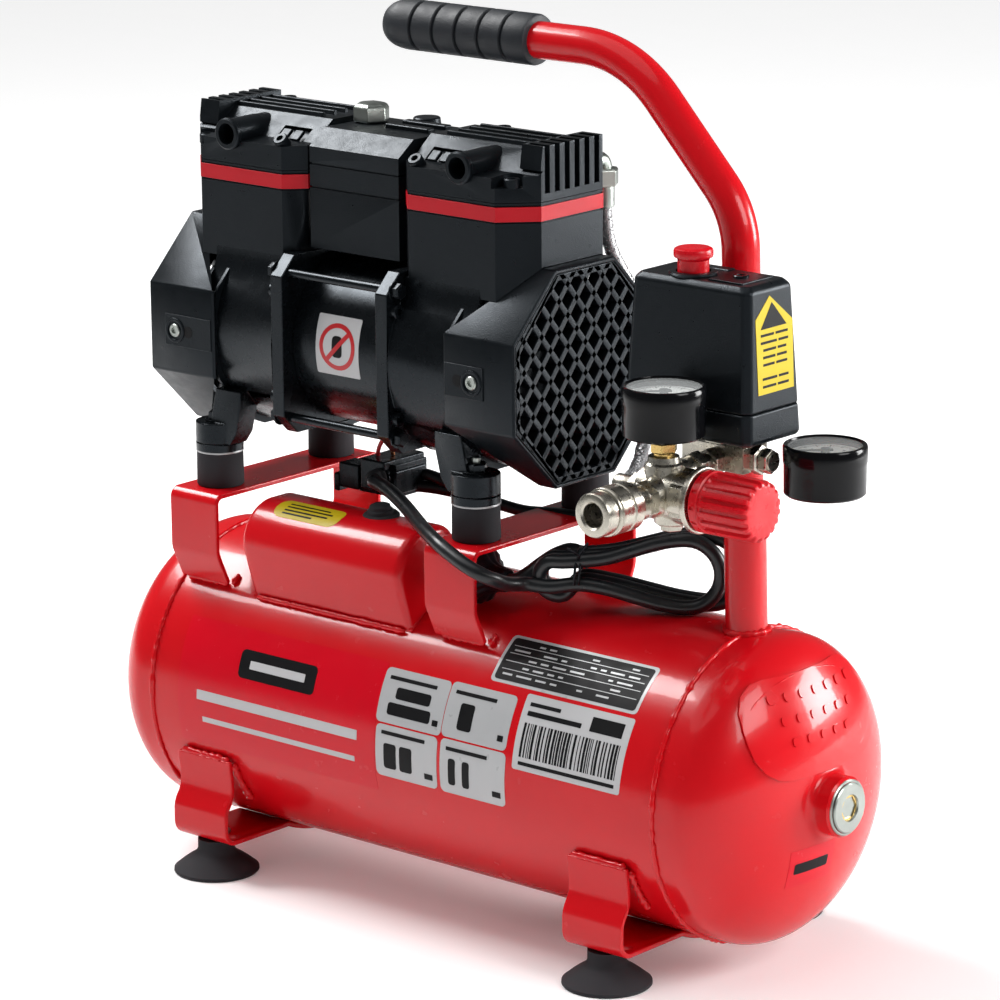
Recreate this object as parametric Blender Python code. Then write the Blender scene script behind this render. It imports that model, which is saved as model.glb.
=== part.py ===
"""Horizontal twin-head oil-free air compressor.

Everything is laid out around the tank: X runs along the tank's axis towards the pressure
switch, -Y is the front with the quick coupler, Z = 0 is the floor under the rubber feet.
Lengths are in millimetres here and become metres as each mesh is made. The pump is described
by its distance from the middle of the motor, so that both ends share one set of functions:
side is +1 at the pressure switch's end and -1 at the other.
"""
import math

import bmesh
import bpy
from mathutils import Matrix, Vector

MM = 0.001
GAP = 0.3                       # clearance between pieces that touch
FRAME_SHIFT = (-13.5, 21.8, 0.0)  # puts the middle of the outer box on the Z axis

# Tank
TANK_RADIUS = 85.0
TANK_WALL = 2.0
TANK_Z = 100.6
SEAM_X = 183.6                  # where the dished ends meet the shell
HEAD_SKIRT = 10.0
HEAD_DEPTH = 42.5
BOSS_RADIUS = 16.5
BOSS_FACE_X = 246.5
PLUG_FACE_X = 248.5

# Feet
FOOT_X = 145.0
FOOT_Y = 75.1
FOOT_LIP_RADIUS = 24.4
FOOT_STRIP_WIDTH = 40.7
FOOT_PLATE_Z = (19.9, 22.9)     # underside and top of the bent strip
FOOT_FRONT_Y = 88.4

# Pump support
PUMP_X = -66.8                  # middle of the motor
PUMP_Z = 309.1                  # motor axis
BRACKET_TOP_Z = 219.5
BRACKET_THICK = 3.0
BRACKET_FRONT_Y = 69.0
BRACKET_WIDTH = 36.0
BRACKET_OFFSET = 96.5           # brackets and mounts, from the middle of the motor
MOUNT_Y = 46.0
MOUNT_RADIUS = 13.6
MOUNT_HEIGHT = 25.0
LUG_Z = (BRACKET_TOP_Z + MOUNT_HEIGHT + 2 * GAP, 256.8)

# Motor
FLANGE_INNER = 34.8             # from the middle of the motor
FLANGE_THICK = 8.6
FLANGE_HALF_Y = 57.5
FLANGE_HALF_Z = 50.5
FLANGE_CHAMFER = 11.0
MOTOR_RADIUS = 49.5
MOTOR_WALL = 2.0
STATOR_BORE = 30.5
ROTOR_RADIUS = 29.8
SHAFT_RADIUS = 5.0
SHAFT_END = 113.0
TIE_ROD_RADIUS = 2.6
TIE_ROD_Y = 50.5
TIE_ROD_Z = 41.0

# Crankcase, fan and shroud
CASE_RADIUS = 57.2
CASE_WALL = 4.0
CASE_END = 99.0
PISTON_OFFSET = 72.0
PISTON_RADIUS = 22.0
PISTON_CROWN = 76.0             # above the motor's axis, halfway through the stroke
FAN_OFFSET = (101.0, 112.0)
FAN_RADIUS = 50.0
SHROUD_HALF = 60.0              # across flats of the octagon, halved
SHROUD_END = 135.8
SHROUD_SIDE = 86.0              # where the side facets start
SHROUD_TOP = 124.0              # where the top and bottom facets start
SHROUD_WALL = 2.6
GRILLE_THICK = 5.0
GRILLE_PITCH = (29.0, 34.0)     # lattice pitch along Y and Z
GRILLE_HOLE = (10.6, 13.0)      # half diagonals of one opening

# Cylinder housings and head covers
TOWER_OFFSET = (36.5, 126.5)
TOWER_HALF_Y = 43.0
TOWER_CHAMFER = (10.4, 17.5)    # at the inner and the outer corners
TOWER_WALL = 4.0
TOWER_BASE = 30.0               # housing starts this far above the motor's axis
TOWER_TOP_Z = 404.5
COVER_LEDGE_Z = 418.0
COVER_TOP_Z = 430.5
FIN_TOP_Z = 434.5
FIN_START = 112.0               # the raised fins reach from here to the outer face
STUB_OFFSET = 85.5
STUB_Z = 421.5
STUB_RADIUS = 8.2
STUB_BORE = 6.0
DUCT_HALF = (33.0, 35.0)        # air duct between the towers, half sizes along X and Y
DUCT_Z = (362.5, 428.0)
FITTING_AT = (PUMP_X - 24.0, 6.0)
FITTING_CORNER = 10.5           # across corners, halved
FITTING_RISE = 11.0

# Handle
POST_RADIUS = 11.3
POST_BORE = 10.4
HANDLE_RADIUS = 10.1
POST_AT_Z200 = 178.9            # X of the post's axis at z = 200
POST_LEAN = -0.026              # X per Z
POST_TOP_Z = 262.0
POST_BOTTOM_Z = 186.2
HANDLE_BOTTOM_Z = 236.0
GRIP_Z = 486.4
GRIP_X = (-70.0, 37.0)
GRIP_RADIUS = 13.9
GRIP_GROOVES = 5
BEND_CORNER_X = 100.0
BEND_CORNER_Z = 408.0
BEND_RADII = (74.0, 50.0)        # upper and lower bend

# Pressure switch, manifold, regulator
SWITCH_X = (142.0, 226.0)
SWITCH_Y = (-60.0, -13.0)
SWITCH_Z = (302.0, 319.0, 384.0)
SWITCH_DRAFT = 4.0
KNOB_X = 176.0
KNOB_Y = -42.0
KNOB_CAP_RADIUS = 10.3
KNOB_RISE = 14.0                # top of the knob above the cover
BLOCK_X = (172.0, 212.0)
BLOCK_Y = (-46.0, -26.0)
BLOCK_Z = (284.0, 297.5)
NECK_RADIUS = 8.0
ARM_Z = 287.0                   # arm from the block forward to the regulator
ARM_RADIUS = 6.4
REG_X = 192.0                   # where the coupler's axis crosses the regulator's
REG_Y = -83.0
REG_Z = 278.5
REG_RADIUS = 15.0
REG_BODY_X = (180.0, 213.0)
REG_KNOB_X = (217.5, 254.0)
REG_KNOB_RADIUS = 16.2
REG_KNOB_RIDGES = 18
BONNET_RADIUS = 9.0
COUPLER_Y = (-98.0, -143.0)     # from the regulator body to the mouth
COUPLER_RADIUS = 12.8
COUPLER_BORE = 6.0
SLEEVE_Y = (-115.0, -134.6)

GAUGE_RADIUS = 22.0
GAUGE_HEIGHT = 26.5
GAUGES = {"outlet": (190.0, -83.2, 308.5), "tank": (242.0, -16.0, 273.0)}
NEEDLE_ZERO = 225.0             # direction of the zero mark, from +X about +Z, in degrees

# Capacitor and its cover
COVER_X = (-127.0, -7.0)
COVER_WALL = 1.5
COVER_FRONT_Y = -69.0
COVER_BACK_Y = -19.0
COVER_CROWN_Z = 218.2
CAPACITOR_RADIUS = 17.5
CAPACITOR_Y = -42.0
CAPACITOR_Z = 197.0

# Terminal block
TERMINAL_LOW = (-84.0, -16.0, 222.0)
TERMINAL_HIGH = (-56.0, 10.0, 241.0)
GLAND_END_Y = -21.0
GLAND_RADIUS = 6.4

# Hose from behind the right head to the regulator's inlet end
HOSE_RADIUS = 4.0
HOSE_POINTS = [(40.5, 49.5, 407), (41, 49.8, 388), (43, 51.5, 368), (48, 57.5, 351),
               (53, 64, 336), (58, 67, 315), (62, 67, 292), (66, 57, 268), (70, 47, 259),
               (80, 33, 257), (98, 8, 260), (124, -26, 267), (148, -58, 275),
               (164, -77, 278.5), (171, -83, 278.5), (179.2, -83, 278.5)]

# Power cord: its lead from the terminal block, its hank and its plug
CORD_RADIUS = 4.0
CORD_POINTS = [(-63, -21.8, 234), (-62.8, -26, 234.2), (-59.5, -30.3, 234.3), (-51, -33, 233.6),
               (-40, -36, 231.2), (-26.5, -41.5, 227.8), (-9.9, -51, 225), (11.8, -66, 224), (28.6, -75, 222),
               (41, -78, 218.4), (52.6, -79, 214.5), (60.5, -76, 210.6), (63.3, -69, 206.8),
               (62.6, -60, 203), (62.6, -51.5, 200.8), (65.9, -44.8, 200)]
HANK_START = (62.0, -37.6)
HANK_END = (164.0, 23.4)
HANK_Z = (186.4, 232.0)
HANK_THICK = 26.0
PLUG_START = (8.0, -38.0, 197.0)
PLUG_LENGTH = 38.0
PLUG_RADIUS = 16.5

SEGMENTS_BIG = 32
SEGMENTS = 20
SEGMENTS_SMALL = 12

PAINT_RED = ("paint_red", (0.62, 0.012, 0.014), 0.28, 0.0)
BLACK_PLASTIC = ("black_plastic", (0.018, 0.019, 0.021), 0.42, 0.0)
BLACK_GLOSS = ("black_gloss", (0.012, 0.013, 0.015), 0.25, 0.0)
RUBBER = ("rubber", (0.02, 0.021, 0.022), 0.7, 0.0)
NICKEL = ("nickel", (0.62, 0.60, 0.55), 0.22, 1.0)
ZINC = ("zinc", (0.55, 0.56, 0.50), 0.35, 1.0)
STEEL = ("steel", (0.45, 0.45, 0.46), 0.35, 1.0)
COPPER = ("copper", (0.55, 0.25, 0.12), 0.4, 1.0)
ALUMINIUM = ("aluminium", (0.6, 0.6, 0.62), 0.4, 1.0)
RED_PLASTIC = ("red_plastic", (0.75, 0.01, 0.02), 0.35, 0.0)
NEEDLE_BLACK = ("needle_black", (0.01, 0.01, 0.01), 0.5, 0.0)

AXIS_X = Vector((1, 0, 0))
AXIS_Y = Vector((0, 1, 0))
AXIS_Z = Vector((0, 0, 1))


# ---------------------------------------------------------------- scene helpers

def clear_scene():
    for obj in list(bpy.data.objects):
        bpy.data.objects.remove(obj, do_unlink=True)


def make_material(finish):
    name, colour, roughness, metallic = finish
    material = bpy.data.materials.get(name)
    if material:
        return material
    material = bpy.data.materials.new(name)
    material.use_nodes = True
    shader = material.node_tree.nodes["Principled BSDF"]
    shader.inputs["Base Color"].default_value = (*colour, 1.0)
    shader.inputs["Roughness"].default_value = roughness
    shader.inputs["Metallic"].default_value = metallic
    return material


def add_object(name, bm, finish, origin=(0, 0, 0), smooth=False):
    """Turn a millimetre bmesh into an object whose origin is at origin."""
    bmesh.ops.recalc_face_normals(bm, faces=bm.faces)
    bmesh.ops.translate(bm, vec=-Vector(origin), verts=bm.verts)
    bmesh.ops.scale(bm, vec=(MM, MM, MM), verts=bm.verts)
    mesh = bpy.data.meshes.new(name)
    bm.to_mesh(mesh)
    bm.free()
    obj = bpy.data.objects.new(name, mesh)
    obj.location = Vector(origin) * MM
    obj.parent = bpy.data.objects["compressor"]
    bpy.context.scene.collection.objects.link(obj)
    if finish:
        mesh.materials.append(make_material(finish))
    if smooth:
        mesh.shade_smooth()
        mesh.set_sharp_from_angle(angle=math.radians(35))
    return obj


def combine(obj, tool_mesh, operation):
    """Cut obj with a millimetre bmesh, or join the two into one body."""
    tool = add_object(obj.name + "_tool", tool_mesh, None)
    tool.hide_render = True
    tool.display_type = "WIRE"
    modifier = obj.modifiers.new(operation.lower(), "BOOLEAN")
    modifier.operation = operation
    modifier.solver = "EXACT"
    modifier.object = tool


def side_name(side):
    return "right" if side > 0 else "left"


# ---------------------------------------------------------------- shape helpers

def prism(outline, axis, start, end, bm=None):
    """Extrude a closed outline along X, Y or Z. Its points are the other two coordinates."""
    bm = bm or bmesh.new()

    def corner(point, along):
        u, v = point
        return {"x": (along, u, v), "y": (u, along, v), "z": (u, v, along)}[axis]

    face = bm.faces.new([bm.verts.new(corner(point, start)) for point in outline])
    grown = bmesh.ops.extrude_face_region(bm, geom=[face])["geom"]
    shift = Vector(corner((0, 0), end - start))
    verts = [item for item in grown if isinstance(item, bmesh.types.BMVert)]
    bmesh.ops.translate(bm, vec=shift, verts=verts)
    return bm


def box(low, high, bm=None):
    outline = [(low[0], low[1]), (high[0], low[1]), (high[0], high[1]), (low[0], high[1])]
    return prism(outline, "z", low[2], high[2], bm)


def chamfered(half_u, half_v, chamfer, centre=(0, 0)):
    """Rectangle with cut corners."""
    cu, cv = centre
    points = [(half_u, half_v - chamfer), (half_u - chamfer, half_v),
              (-half_u + chamfer, half_v), (-half_u, half_v - chamfer),
              (-half_u, -half_v + chamfer), (-half_u + chamfer, -half_v),
              (half_u - chamfer, -half_v), (half_u, -half_v + chamfer)]
    return [(cu + u, cv + v) for u, v in points]


def lathe(profile, base, axis, segments, closed=False, bm=None):
    """Turn (distance along axis, radius) points about an axis through base.

    A profile that starts and ends on the axis gives a solid; a closed one gives a ring.
    """
    bm = bm or bmesh.new()
    axis = Vector(axis).normalized()
    helper = AXIS_Z if abs(axis.z) < 0.9 else AXIS_X
    across = (helper - axis * helper.dot(axis)).normalized()
    rings = []
    for along, radius in profile:
        centre = Vector(base) + axis * along
        if radius < 1e-6:
            rings.append([bm.verts.new(centre)] * segments)
            continue
        ring = []
        for step in range(segments):
            turn = Matrix.Rotation(2 * math.pi * step / segments, 3, axis)
            ring.append(bm.verts.new(centre + turn @ across * radius))
        rings.append(ring)
    pairs = list(zip(rings, rings[1:]))
    if closed:
        pairs.append((rings[-1], rings[0]))
    for first, second in pairs:
        for step in range(segments):
            after = (step + 1) % segments
            corners = []
            for vert in (first[step], first[after], second[after], second[step]):
                if vert not in corners:
                    corners.append(vert)
            if len(corners) > 2:
                bm.faces.new(corners)
    return bm


def rod(start, end, radius, segments=SEGMENTS_SMALL, bm=None):
    length = (Vector(end) - Vector(start)).length
    profile = [(0, 0), (0, radius), (length, radius), (length, 0)]
    return lathe(profile, start, Vector(end) - Vector(start), segments, bm=bm)


def tube(start, end, radius, bore, segments=SEGMENTS, bm=None):
    length = (Vector(end) - Vector(start)).length
    profile = [(0, bore), (0, radius), (length, radius), (length, bore)]
    return lathe(profile, start, Vector(end) - Vector(start), segments, closed=True, bm=bm)


def swept_tube(name, points, radius, finish, bevel_resolution=2, cyclic=False):
    """Capped round bar along a list of points, as a curve object."""
    curve = bpy.data.curves.new(name, "CURVE")
    curve.dimensions = "3D"
    curve.bevel_depth = radius * MM
    curve.bevel_resolution = bevel_resolution
    curve.render_resolution_u = 0
    curve.use_fill_caps = True
    spline = curve.splines.new("POLY")
    spline.points.add(len(points) - 1)
    for target, point in zip(spline.points, points):
        target.co = (*(Vector(point) * MM), 1.0)
    spline.use_cyclic_u = cyclic
    curve.materials.append(make_material(finish))
    obj = bpy.data.objects.new(name, curve)
    obj.parent = bpy.data.objects["compressor"]
    bpy.context.scene.collection.objects.link(obj)
    return obj


def smooth_route(points, spacing):
    """Points about spacing apart on a Catmull-Rom curve through the given points."""
    points = [Vector(point) for point in points]
    ends = [2 * points[0] - points[1]] + points + [2 * points[-1] - points[-2]]
    route = [points[0]]
    for before, start, end, after in zip(ends, ends[1:], ends[2:], ends[3:]):
        count = max(1, round((end - start).length / spacing))
        for step in range(1, count + 1):
            t = step / count
            route.append(0.5 * (2 * start + (end - before) * t
                                + (2 * before - 5 * start + 4 * end - after) * t ** 2
                                + (3 * start - before - 3 * end + after) * t ** 3))
    return route


def arc(centre, radius, first, last, count):
    """Points on a circle, with the angles in degrees."""
    points = []
    for step in range(count + 1):
        angle = math.radians(first + (last - first) * step / count)
        points.append((centre[0] + radius * math.cos(angle),
                       centre[1] + radius * math.sin(angle)))
    return points


def hexagon(centre, corner_radius):
    """Six points about a centre."""
    return arc(centre, corner_radius, 0, 300, 5)


def offset_x(side, offset):
    """X of a place on the pump."""
    return PUMP_X + side * offset


def pump_point(side, offset, y=0.0, z=0.0):
    """A place on the pump, with y and z measured from the motor's axis."""
    return (offset_x(side, offset), y, PUMP_Z + z)


# ---------------------------------------------------------------- tank and feet

def head_profile(radius, depth):
    """Half ellipse from the rim to the pole, after a straight skirt."""
    steps = 6
    points = [(SEAM_X + GAP, radius)]
    for step in range(steps + 1):
        angle = math.radians(90 * step / steps)
        points.append((SEAM_X + HEAD_SKIRT + depth * math.sin(angle),
                       radius * math.cos(angle)))
    points[-1] = (points[-1][0], 0.0)
    return points


def build_tank():
    inner = TANK_RADIUS - TANK_WALL
    shell = tube((-SEAM_X, 0, TANK_Z), (SEAM_X, 0, TANK_Z), TANK_RADIUS, inner, SEGMENTS_BIG)
    add_object("tank_shell", shell, PAINT_RED, smooth=True)

    outer_side = head_profile(TANK_RADIUS, HEAD_DEPTH)
    inner_side = head_profile(inner, HEAD_DEPTH - TANK_WALL)
    plain = outer_side[::-1] + inner_side
    left = lathe(plain, (0, 0, TANK_Z), -AXIS_X, SEGMENTS_BIG)
    add_object("tank_end_left", left, PAINT_RED, smooth=True)

    boss_root_x = SEAM_X + HEAD_SKIRT + HEAD_DEPTH * 0.97
    bore = BOSS_RADIUS - 3.5
    bossed = inner_side[:-1] + [(inner_side[-1][0], bore), (BOSS_FACE_X, bore),
                                (BOSS_FACE_X, BOSS_RADIUS), (boss_root_x, BOSS_RADIUS)]
    bossed += outer_side[:-1][::-1]
    right = lathe(bossed, (0, 0, TANK_Z), AXIS_X, SEGMENTS_BIG, closed=True)
    add_object("tank_end_right", right, PAINT_RED, smooth=True)

    stem = bore - GAP
    face = BOSS_RADIUS - 0.8
    shoulder = BOSS_FACE_X + GAP
    inner_x = SEAM_X + HEAD_SKIRT + HEAD_DEPTH - 4.0
    outer_x = PLUG_FACE_X + GAP
    socket_radius = 6.0
    socket_floor_x = PLUG_FACE_X - 6.0
    plug = lathe([(inner_x, 0), (inner_x, stem), (shoulder, stem), (shoulder, face),
                  (outer_x, face), (outer_x, socket_radius), (socket_floor_x, socket_radius),
                  (socket_floor_x, 0)], (0, 0, TANK_Z), AXIS_X, SEGMENTS)
    add_object("end_plug", plug, ZINC, smooth=True)


def tank_surface_y(z, clearance=GAP):
    """Half width of the tank at a height, plus a clearance."""
    rise = z - TANK_Z
    return math.sqrt((TANK_RADIUS + clearance) ** 2 - rise ** 2)


def strip_outline(half_path, thickness):
    """Closed outline of a bent strip, symmetric about Y = 0.

    half_path runs along the outer face from the middle to the tip, as (y, z) points.
    """
    path = [Vector(point) for point in half_path]
    inward = []
    for index, point in enumerate(path):
        before = path[max(index - 1, 0)]
        after = path[min(index + 1, len(path) - 1)]
        first = (point - before).normalized() if index else (after - point).normalized()
        second = (after - point).normalized() if index < len(path) - 1 else first
        normal = Vector((-(first + second).y, (first + second).x)).normalized()
        reach = thickness / max(0.4, normal.dot(Vector((-first.y, first.x))))
        inward.append(point + normal * reach)
    right = [tuple(point) for point in path[1:]] + [tuple(point) for point in inward[1:]][::-1]
    left = [(-y, z) for y, z in right[::-1]]
    return [tuple(path[0])] + right + [tuple(inward[0])] + left


def build_foot_brackets():
    low, _ = FOOT_PLATE_Z
    thickness = FOOT_PLATE_Z[1] - low
    bend = 9.0
    tip_z = 70.0
    saddle = TANK_RADIUS + GAP + thickness
    meet = math.degrees(math.asin((low - TANK_Z) / saddle))
    path = arc((0, TANK_Z), saddle, -90, meet, 3)
    path.append((FOOT_FRONT_Y - bend, low))
    path += arc((FOOT_FRONT_Y - bend, low + bend), bend, -90, 0, 3)[1:]
    path += [(FOOT_FRONT_Y, 42.0), (FOOT_FRONT_Y - 1.0, 50.0),
             (tank_surface_y(tip_z, thickness + 1.2), tip_z)]
    for side in (-1, 1):
        start = side * FOOT_X - FOOT_STRIP_WIDTH / 2
        bm = prism(strip_outline(path, thickness), "x", start, start + FOOT_STRIP_WIDTH)
        add_object(f"foot_bracket_{side_name(side)}", bm, PAINT_RED)


def build_rubber_feet():
    profile = [(3.0, 0), (3.0, 15.0), (0.0, 19.0), (0.0, FOOT_LIP_RADIUS),
               (2.6, FOOT_LIP_RADIUS), (8.0, 17.5), (11.0, 12.0), (13.0, 10.5),
               (FOOT_PLATE_Z[0] - GAP, 10.5), (FOOT_PLATE_Z[0] - GAP, 0)]
    for side in (-1, 1):
        for end in ("front", "rear"):
            y = -FOOT_Y if end == "front" else FOOT_Y
            bm = lathe(profile, (side * FOOT_X, y, 0), AXIS_Z, SEGMENTS)
            add_object(f"rubber_foot_{side_name(side)}_{end}", bm, RUBBER, smooth=True)


def build_pump_brackets():
    bend = 5.0
    tip_z = 166.0
    top = BRACKET_TOP_Z
    path = [(0, top), (BRACKET_FRONT_Y - bend, top)]
    path += arc((BRACKET_FRONT_Y - bend, top - bend), bend, 90, 0, 3)[1:]
    path += [(BRACKET_FRONT_Y, 186.0), (BRACKET_FRONT_Y - 1.5, 181.0),
             (tank_surface_y(tip_z, BRACKET_THICK + 1.2), tip_z)]
    for side in (-1, 1):
        start = offset_x(side, BRACKET_OFFSET) - BRACKET_WIDTH / 2
        outline = strip_outline(path, -BRACKET_THICK)
        bm = prism(outline, "x", start, start + BRACKET_WIDTH)
        add_object(f"pump_bracket_{side_name(side)}", bm, PAINT_RED)


def build_rubber_mounts():
    base_z = BRACKET_TOP_Z + GAP
    for side in (-1, 1):
        for end in ("front", "rear"):
            y = -MOUNT_Y if end == "front" else MOUNT_Y
            x = offset_x(side, BRACKET_OFFSET)
            bm = rod((x, y, base_z), (x, y, base_z + MOUNT_HEIGHT), MOUNT_RADIUS, SEGMENTS)
            add_object(f"rubber_mount_{side_name(side)}_{end}", bm, RUBBER, smooth=True)


# ---------------------------------------------------------------- handle

def post_x(z):
    return POST_AT_Z200 + POST_LEAN * (z - 200.0)


def handle_route():
    """Centre line from inside the post, up, over the two bends and into the grip."""
    slope_bottom = Vector((post_x(BEND_CORNER_Z), BEND_CORNER_Z))
    slope_top = Vector((BEND_CORNER_X, GRIP_Z))
    start = Vector((post_x(HANDLE_BOTTOM_Z), HANDLE_BOTTOM_Z))
    finish = Vector((GRIP_X[0] + 6.0, GRIP_Z))
    route = [start]
    for before, corner, after, radius in ((start, slope_bottom, slope_top, BEND_RADII[1]),
                                          (slope_bottom, slope_top, finish, BEND_RADII[0])):
        incoming = (corner - before).normalized()
        outgoing = (after - corner).normalized()
        turn = incoming.angle(outgoing)
        trim = radius * math.tan(turn / 2)
        centre = corner + (outgoing - incoming).normalized() * radius / math.cos(turn / 2)
        first = corner - incoming * trim - centre
        steps = 6
        for step in range(steps + 1):
            rotated = Matrix.Rotation(turn * step / steps, 2) @ first
            route.append(centre + rotated)
    route.append(finish)
    return [(point.x, 0.0, point.y) for point in route]


def build_handle():
    post = tube((post_x(POST_BOTTOM_Z), 0, POST_BOTTOM_Z), (post_x(POST_TOP_Z), 0, POST_TOP_Z),
                POST_RADIUS, POST_BORE)
    add_object("handle_post", post, PAINT_RED, smooth=True)
    swept_tube("handle_tube", handle_route(), HANDLE_RADIUS, PAINT_RED, bevel_resolution=3)

    length = GRIP_X[1] - GRIP_X[0]
    half_groove = 1.0
    groove_depth = 1.6
    bore = HANDLE_RADIUS + GAP
    first_groove = 26.0
    pitch = (length - first_groove) / GRIP_GROOVES
    profile = [(0.0, 0), (0.6, 6.0), (3.0, 10.0), (8.0, 12.8), (16.0, GRIP_RADIUS)]
    for index in range(GRIP_GROOVES):
        x = first_groove + index * pitch
        profile += [(x - half_groove, GRIP_RADIUS), (x - half_groove, GRIP_RADIUS - groove_depth),
                    (x + half_groove, GRIP_RADIUS - groove_depth), (x + half_groove, GRIP_RADIUS)]
    profile += [(length - 2.0, GRIP_RADIUS), (length, GRIP_RADIUS - 1.2), (length, bore),
                (4.0, bore), (4.0, 0)]
    grip = lathe(profile, (GRIP_X[0], 0, GRIP_Z), AXIS_X, SEGMENTS)
    add_object("handle_grip", grip, RUBBER, smooth=True)


# ---------------------------------------------------------------- pump

def build_motor():
    inner = FLANGE_INNER - GAP
    shell = tube(pump_point(-1, inner), pump_point(1, inner), MOTOR_RADIUS,
                 MOTOR_RADIUS - MOTOR_WALL, SEGMENTS_BIG)
    add_object("motor_shell", shell, BLACK_GLOSS, smooth=True)

    core = tube(pump_point(-1, 24), pump_point(1, 24), MOTOR_RADIUS - MOTOR_WALL - GAP,
                STATOR_BORE, SEGMENTS_BIG)
    add_object("stator_core", core, COPPER, smooth=True)

    rotor = lathe([(-SHAFT_END, 0), (-SHAFT_END, SHAFT_RADIUS), (-25, SHAFT_RADIUS),
                   (-25, ROTOR_RADIUS - GAP), (25, ROTOR_RADIUS - GAP), (25, SHAFT_RADIUS),
                   (SHAFT_END, SHAFT_RADIUS), (SHAFT_END, 0)],
                  pump_point(1, 0), AXIS_X, SEGMENTS)
    add_object("rotor_shaft", rotor, STEEL, origin=pump_point(1, 0), smooth=True)

    for end, y in (("front", -TIE_ROD_Y), ("rear", TIE_ROD_Y)):
        for level, z in (("upper", TIE_ROD_Z), ("lower", -TIE_ROD_Z)):
            bm = rod(pump_point(-1, inner, y, z), pump_point(1, inner, y, z), TIE_ROD_RADIUS)
            add_object(f"tie_rod_{end}_{level}", bm, STEEL, smooth=True)


def build_crankcase(side):
    """Round crank chamber with the square motor flange, the shaft bore and two feet."""
    outer_face = FLANGE_INNER + FLANGE_THICK
    start, end = sorted((offset_x(side, FLANGE_INNER), offset_x(side, outer_face)))
    plate = chamfered(FLANGE_HALF_Y, FLANGE_HALF_Z, FLANGE_CHAMFER, (0, PUMP_Z))
    bm = prism(plate, "x", start, end)
    case = add_object(f"crankcase_{side_name(side)}", bm, BLACK_GLOSS, smooth=True)

    drum = tube(pump_point(side, outer_face - 2.0), pump_point(side, CASE_END),
                CASE_RADIUS, CASE_RADIUS - CASE_WALL, SEGMENTS_BIG)
    combine(case, drum, "UNION")
    for y in (-MOUNT_Y, MOUNT_Y):
        low, high = LUG_Z
        rail = [(offset_x(side, 73.0), 268.0), (offset_x(side, 77.0), low + 7.0),
                (offset_x(side, 82.0), low), (offset_x(side, BRACKET_OFFSET), low),
                (offset_x(side, BRACKET_OFFSET), high), (offset_x(side, 92.0), 277.0),
                (offset_x(side, 73.0), 277.0)]
        combine(case, prism(rail, "y", y - 7.0, y + 7.0), "UNION")
        x = offset_x(side, BRACKET_OFFSET)
        pad = rod((x, y, low), (x, y, high), MOUNT_RADIUS, SEGMENTS)
        combine(case, pad, "UNION")
    bore = rod(pump_point(side, FLANGE_INNER - 5), pump_point(side, outer_face + 5),
               SHAFT_RADIUS + 0.6, SEGMENTS)
    combine(case, bore, "DIFFERENCE")
    x = offset_x(side, PISTON_OFFSET)
    throat = rod((x, 0, PUMP_Z + 30), (x, 0, PUMP_Z + 80), PISTON_RADIUS + 1.5, SEGMENTS)
    combine(case, throat, "DIFFERENCE")


def tower_outline(side, inset=0.0):
    """Plan of a cylinder housing, chamfered more at its outer corners."""
    near, far = TOWER_OFFSET[0] + inset, TOWER_OFFSET[1] - inset
    half = TOWER_HALF_Y - inset
    small, large = TOWER_CHAMFER
    points = [(near + small, -half), (far - large, -half), (far, -half + large),
              (far, half - large), (far - large, half), (near + small, half),
              (near, half - small), (near, -half + small)]
    return [(offset_x(side, offset), y) for offset, y in points]


def octagon(half, centre_z=PUMP_Z):
    """Regular octagon in the YZ plane with its flats at half."""
    corner = half * math.tan(math.radians(22.5))
    return chamfered(half, half, half - corner, (0, centre_z))


def build_tower(side):
    name = side_name(side)
    bottom = PUMP_Z + TOWER_BASE
    bm = prism(tower_outline(side), "z", bottom, TOWER_TOP_Z)
    tower = add_object(f"cylinder_housing_{name}", bm, BLACK_PLASTIC)
    hollow = prism(tower_outline(side, TOWER_WALL), "z", bottom - 5, TOWER_TOP_Z - 6.0)
    combine(tower, hollow, "DIFFERENCE")
    saddle = rod(pump_point(side, 20), pump_point(side, 150), CASE_RADIUS + GAP, SEGMENTS_BIG)
    combine(tower, saddle, "DIFFERENCE")
    start, end = sorted((offset_x(side, SHROUD_SIDE - 1), offset_x(side, 150)))
    combine(tower, prism(octagon(SHROUD_HALF + GAP), "x", start, end), "DIFFERENCE")
    flange_top = PUMP_Z + FLANGE_HALF_Z + GAP
    flange_end = FLANGE_INNER + FLANGE_THICK + GAP
    low_x, high_x = sorted((offset_x(side, 30), offset_x(side, flange_end)))
    combine(tower, box((low_x, -60, PUMP_Z), (high_x, 60, flange_top)), "DIFFERENCE")
    x = offset_x(side, PISTON_OFFSET)
    port = rod((x, 0, TOWER_TOP_Z - 20), (x, 0, TOWER_TOP_Z + 5), 12.0, SEGMENTS)
    combine(tower, port, "DIFFERENCE")


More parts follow.
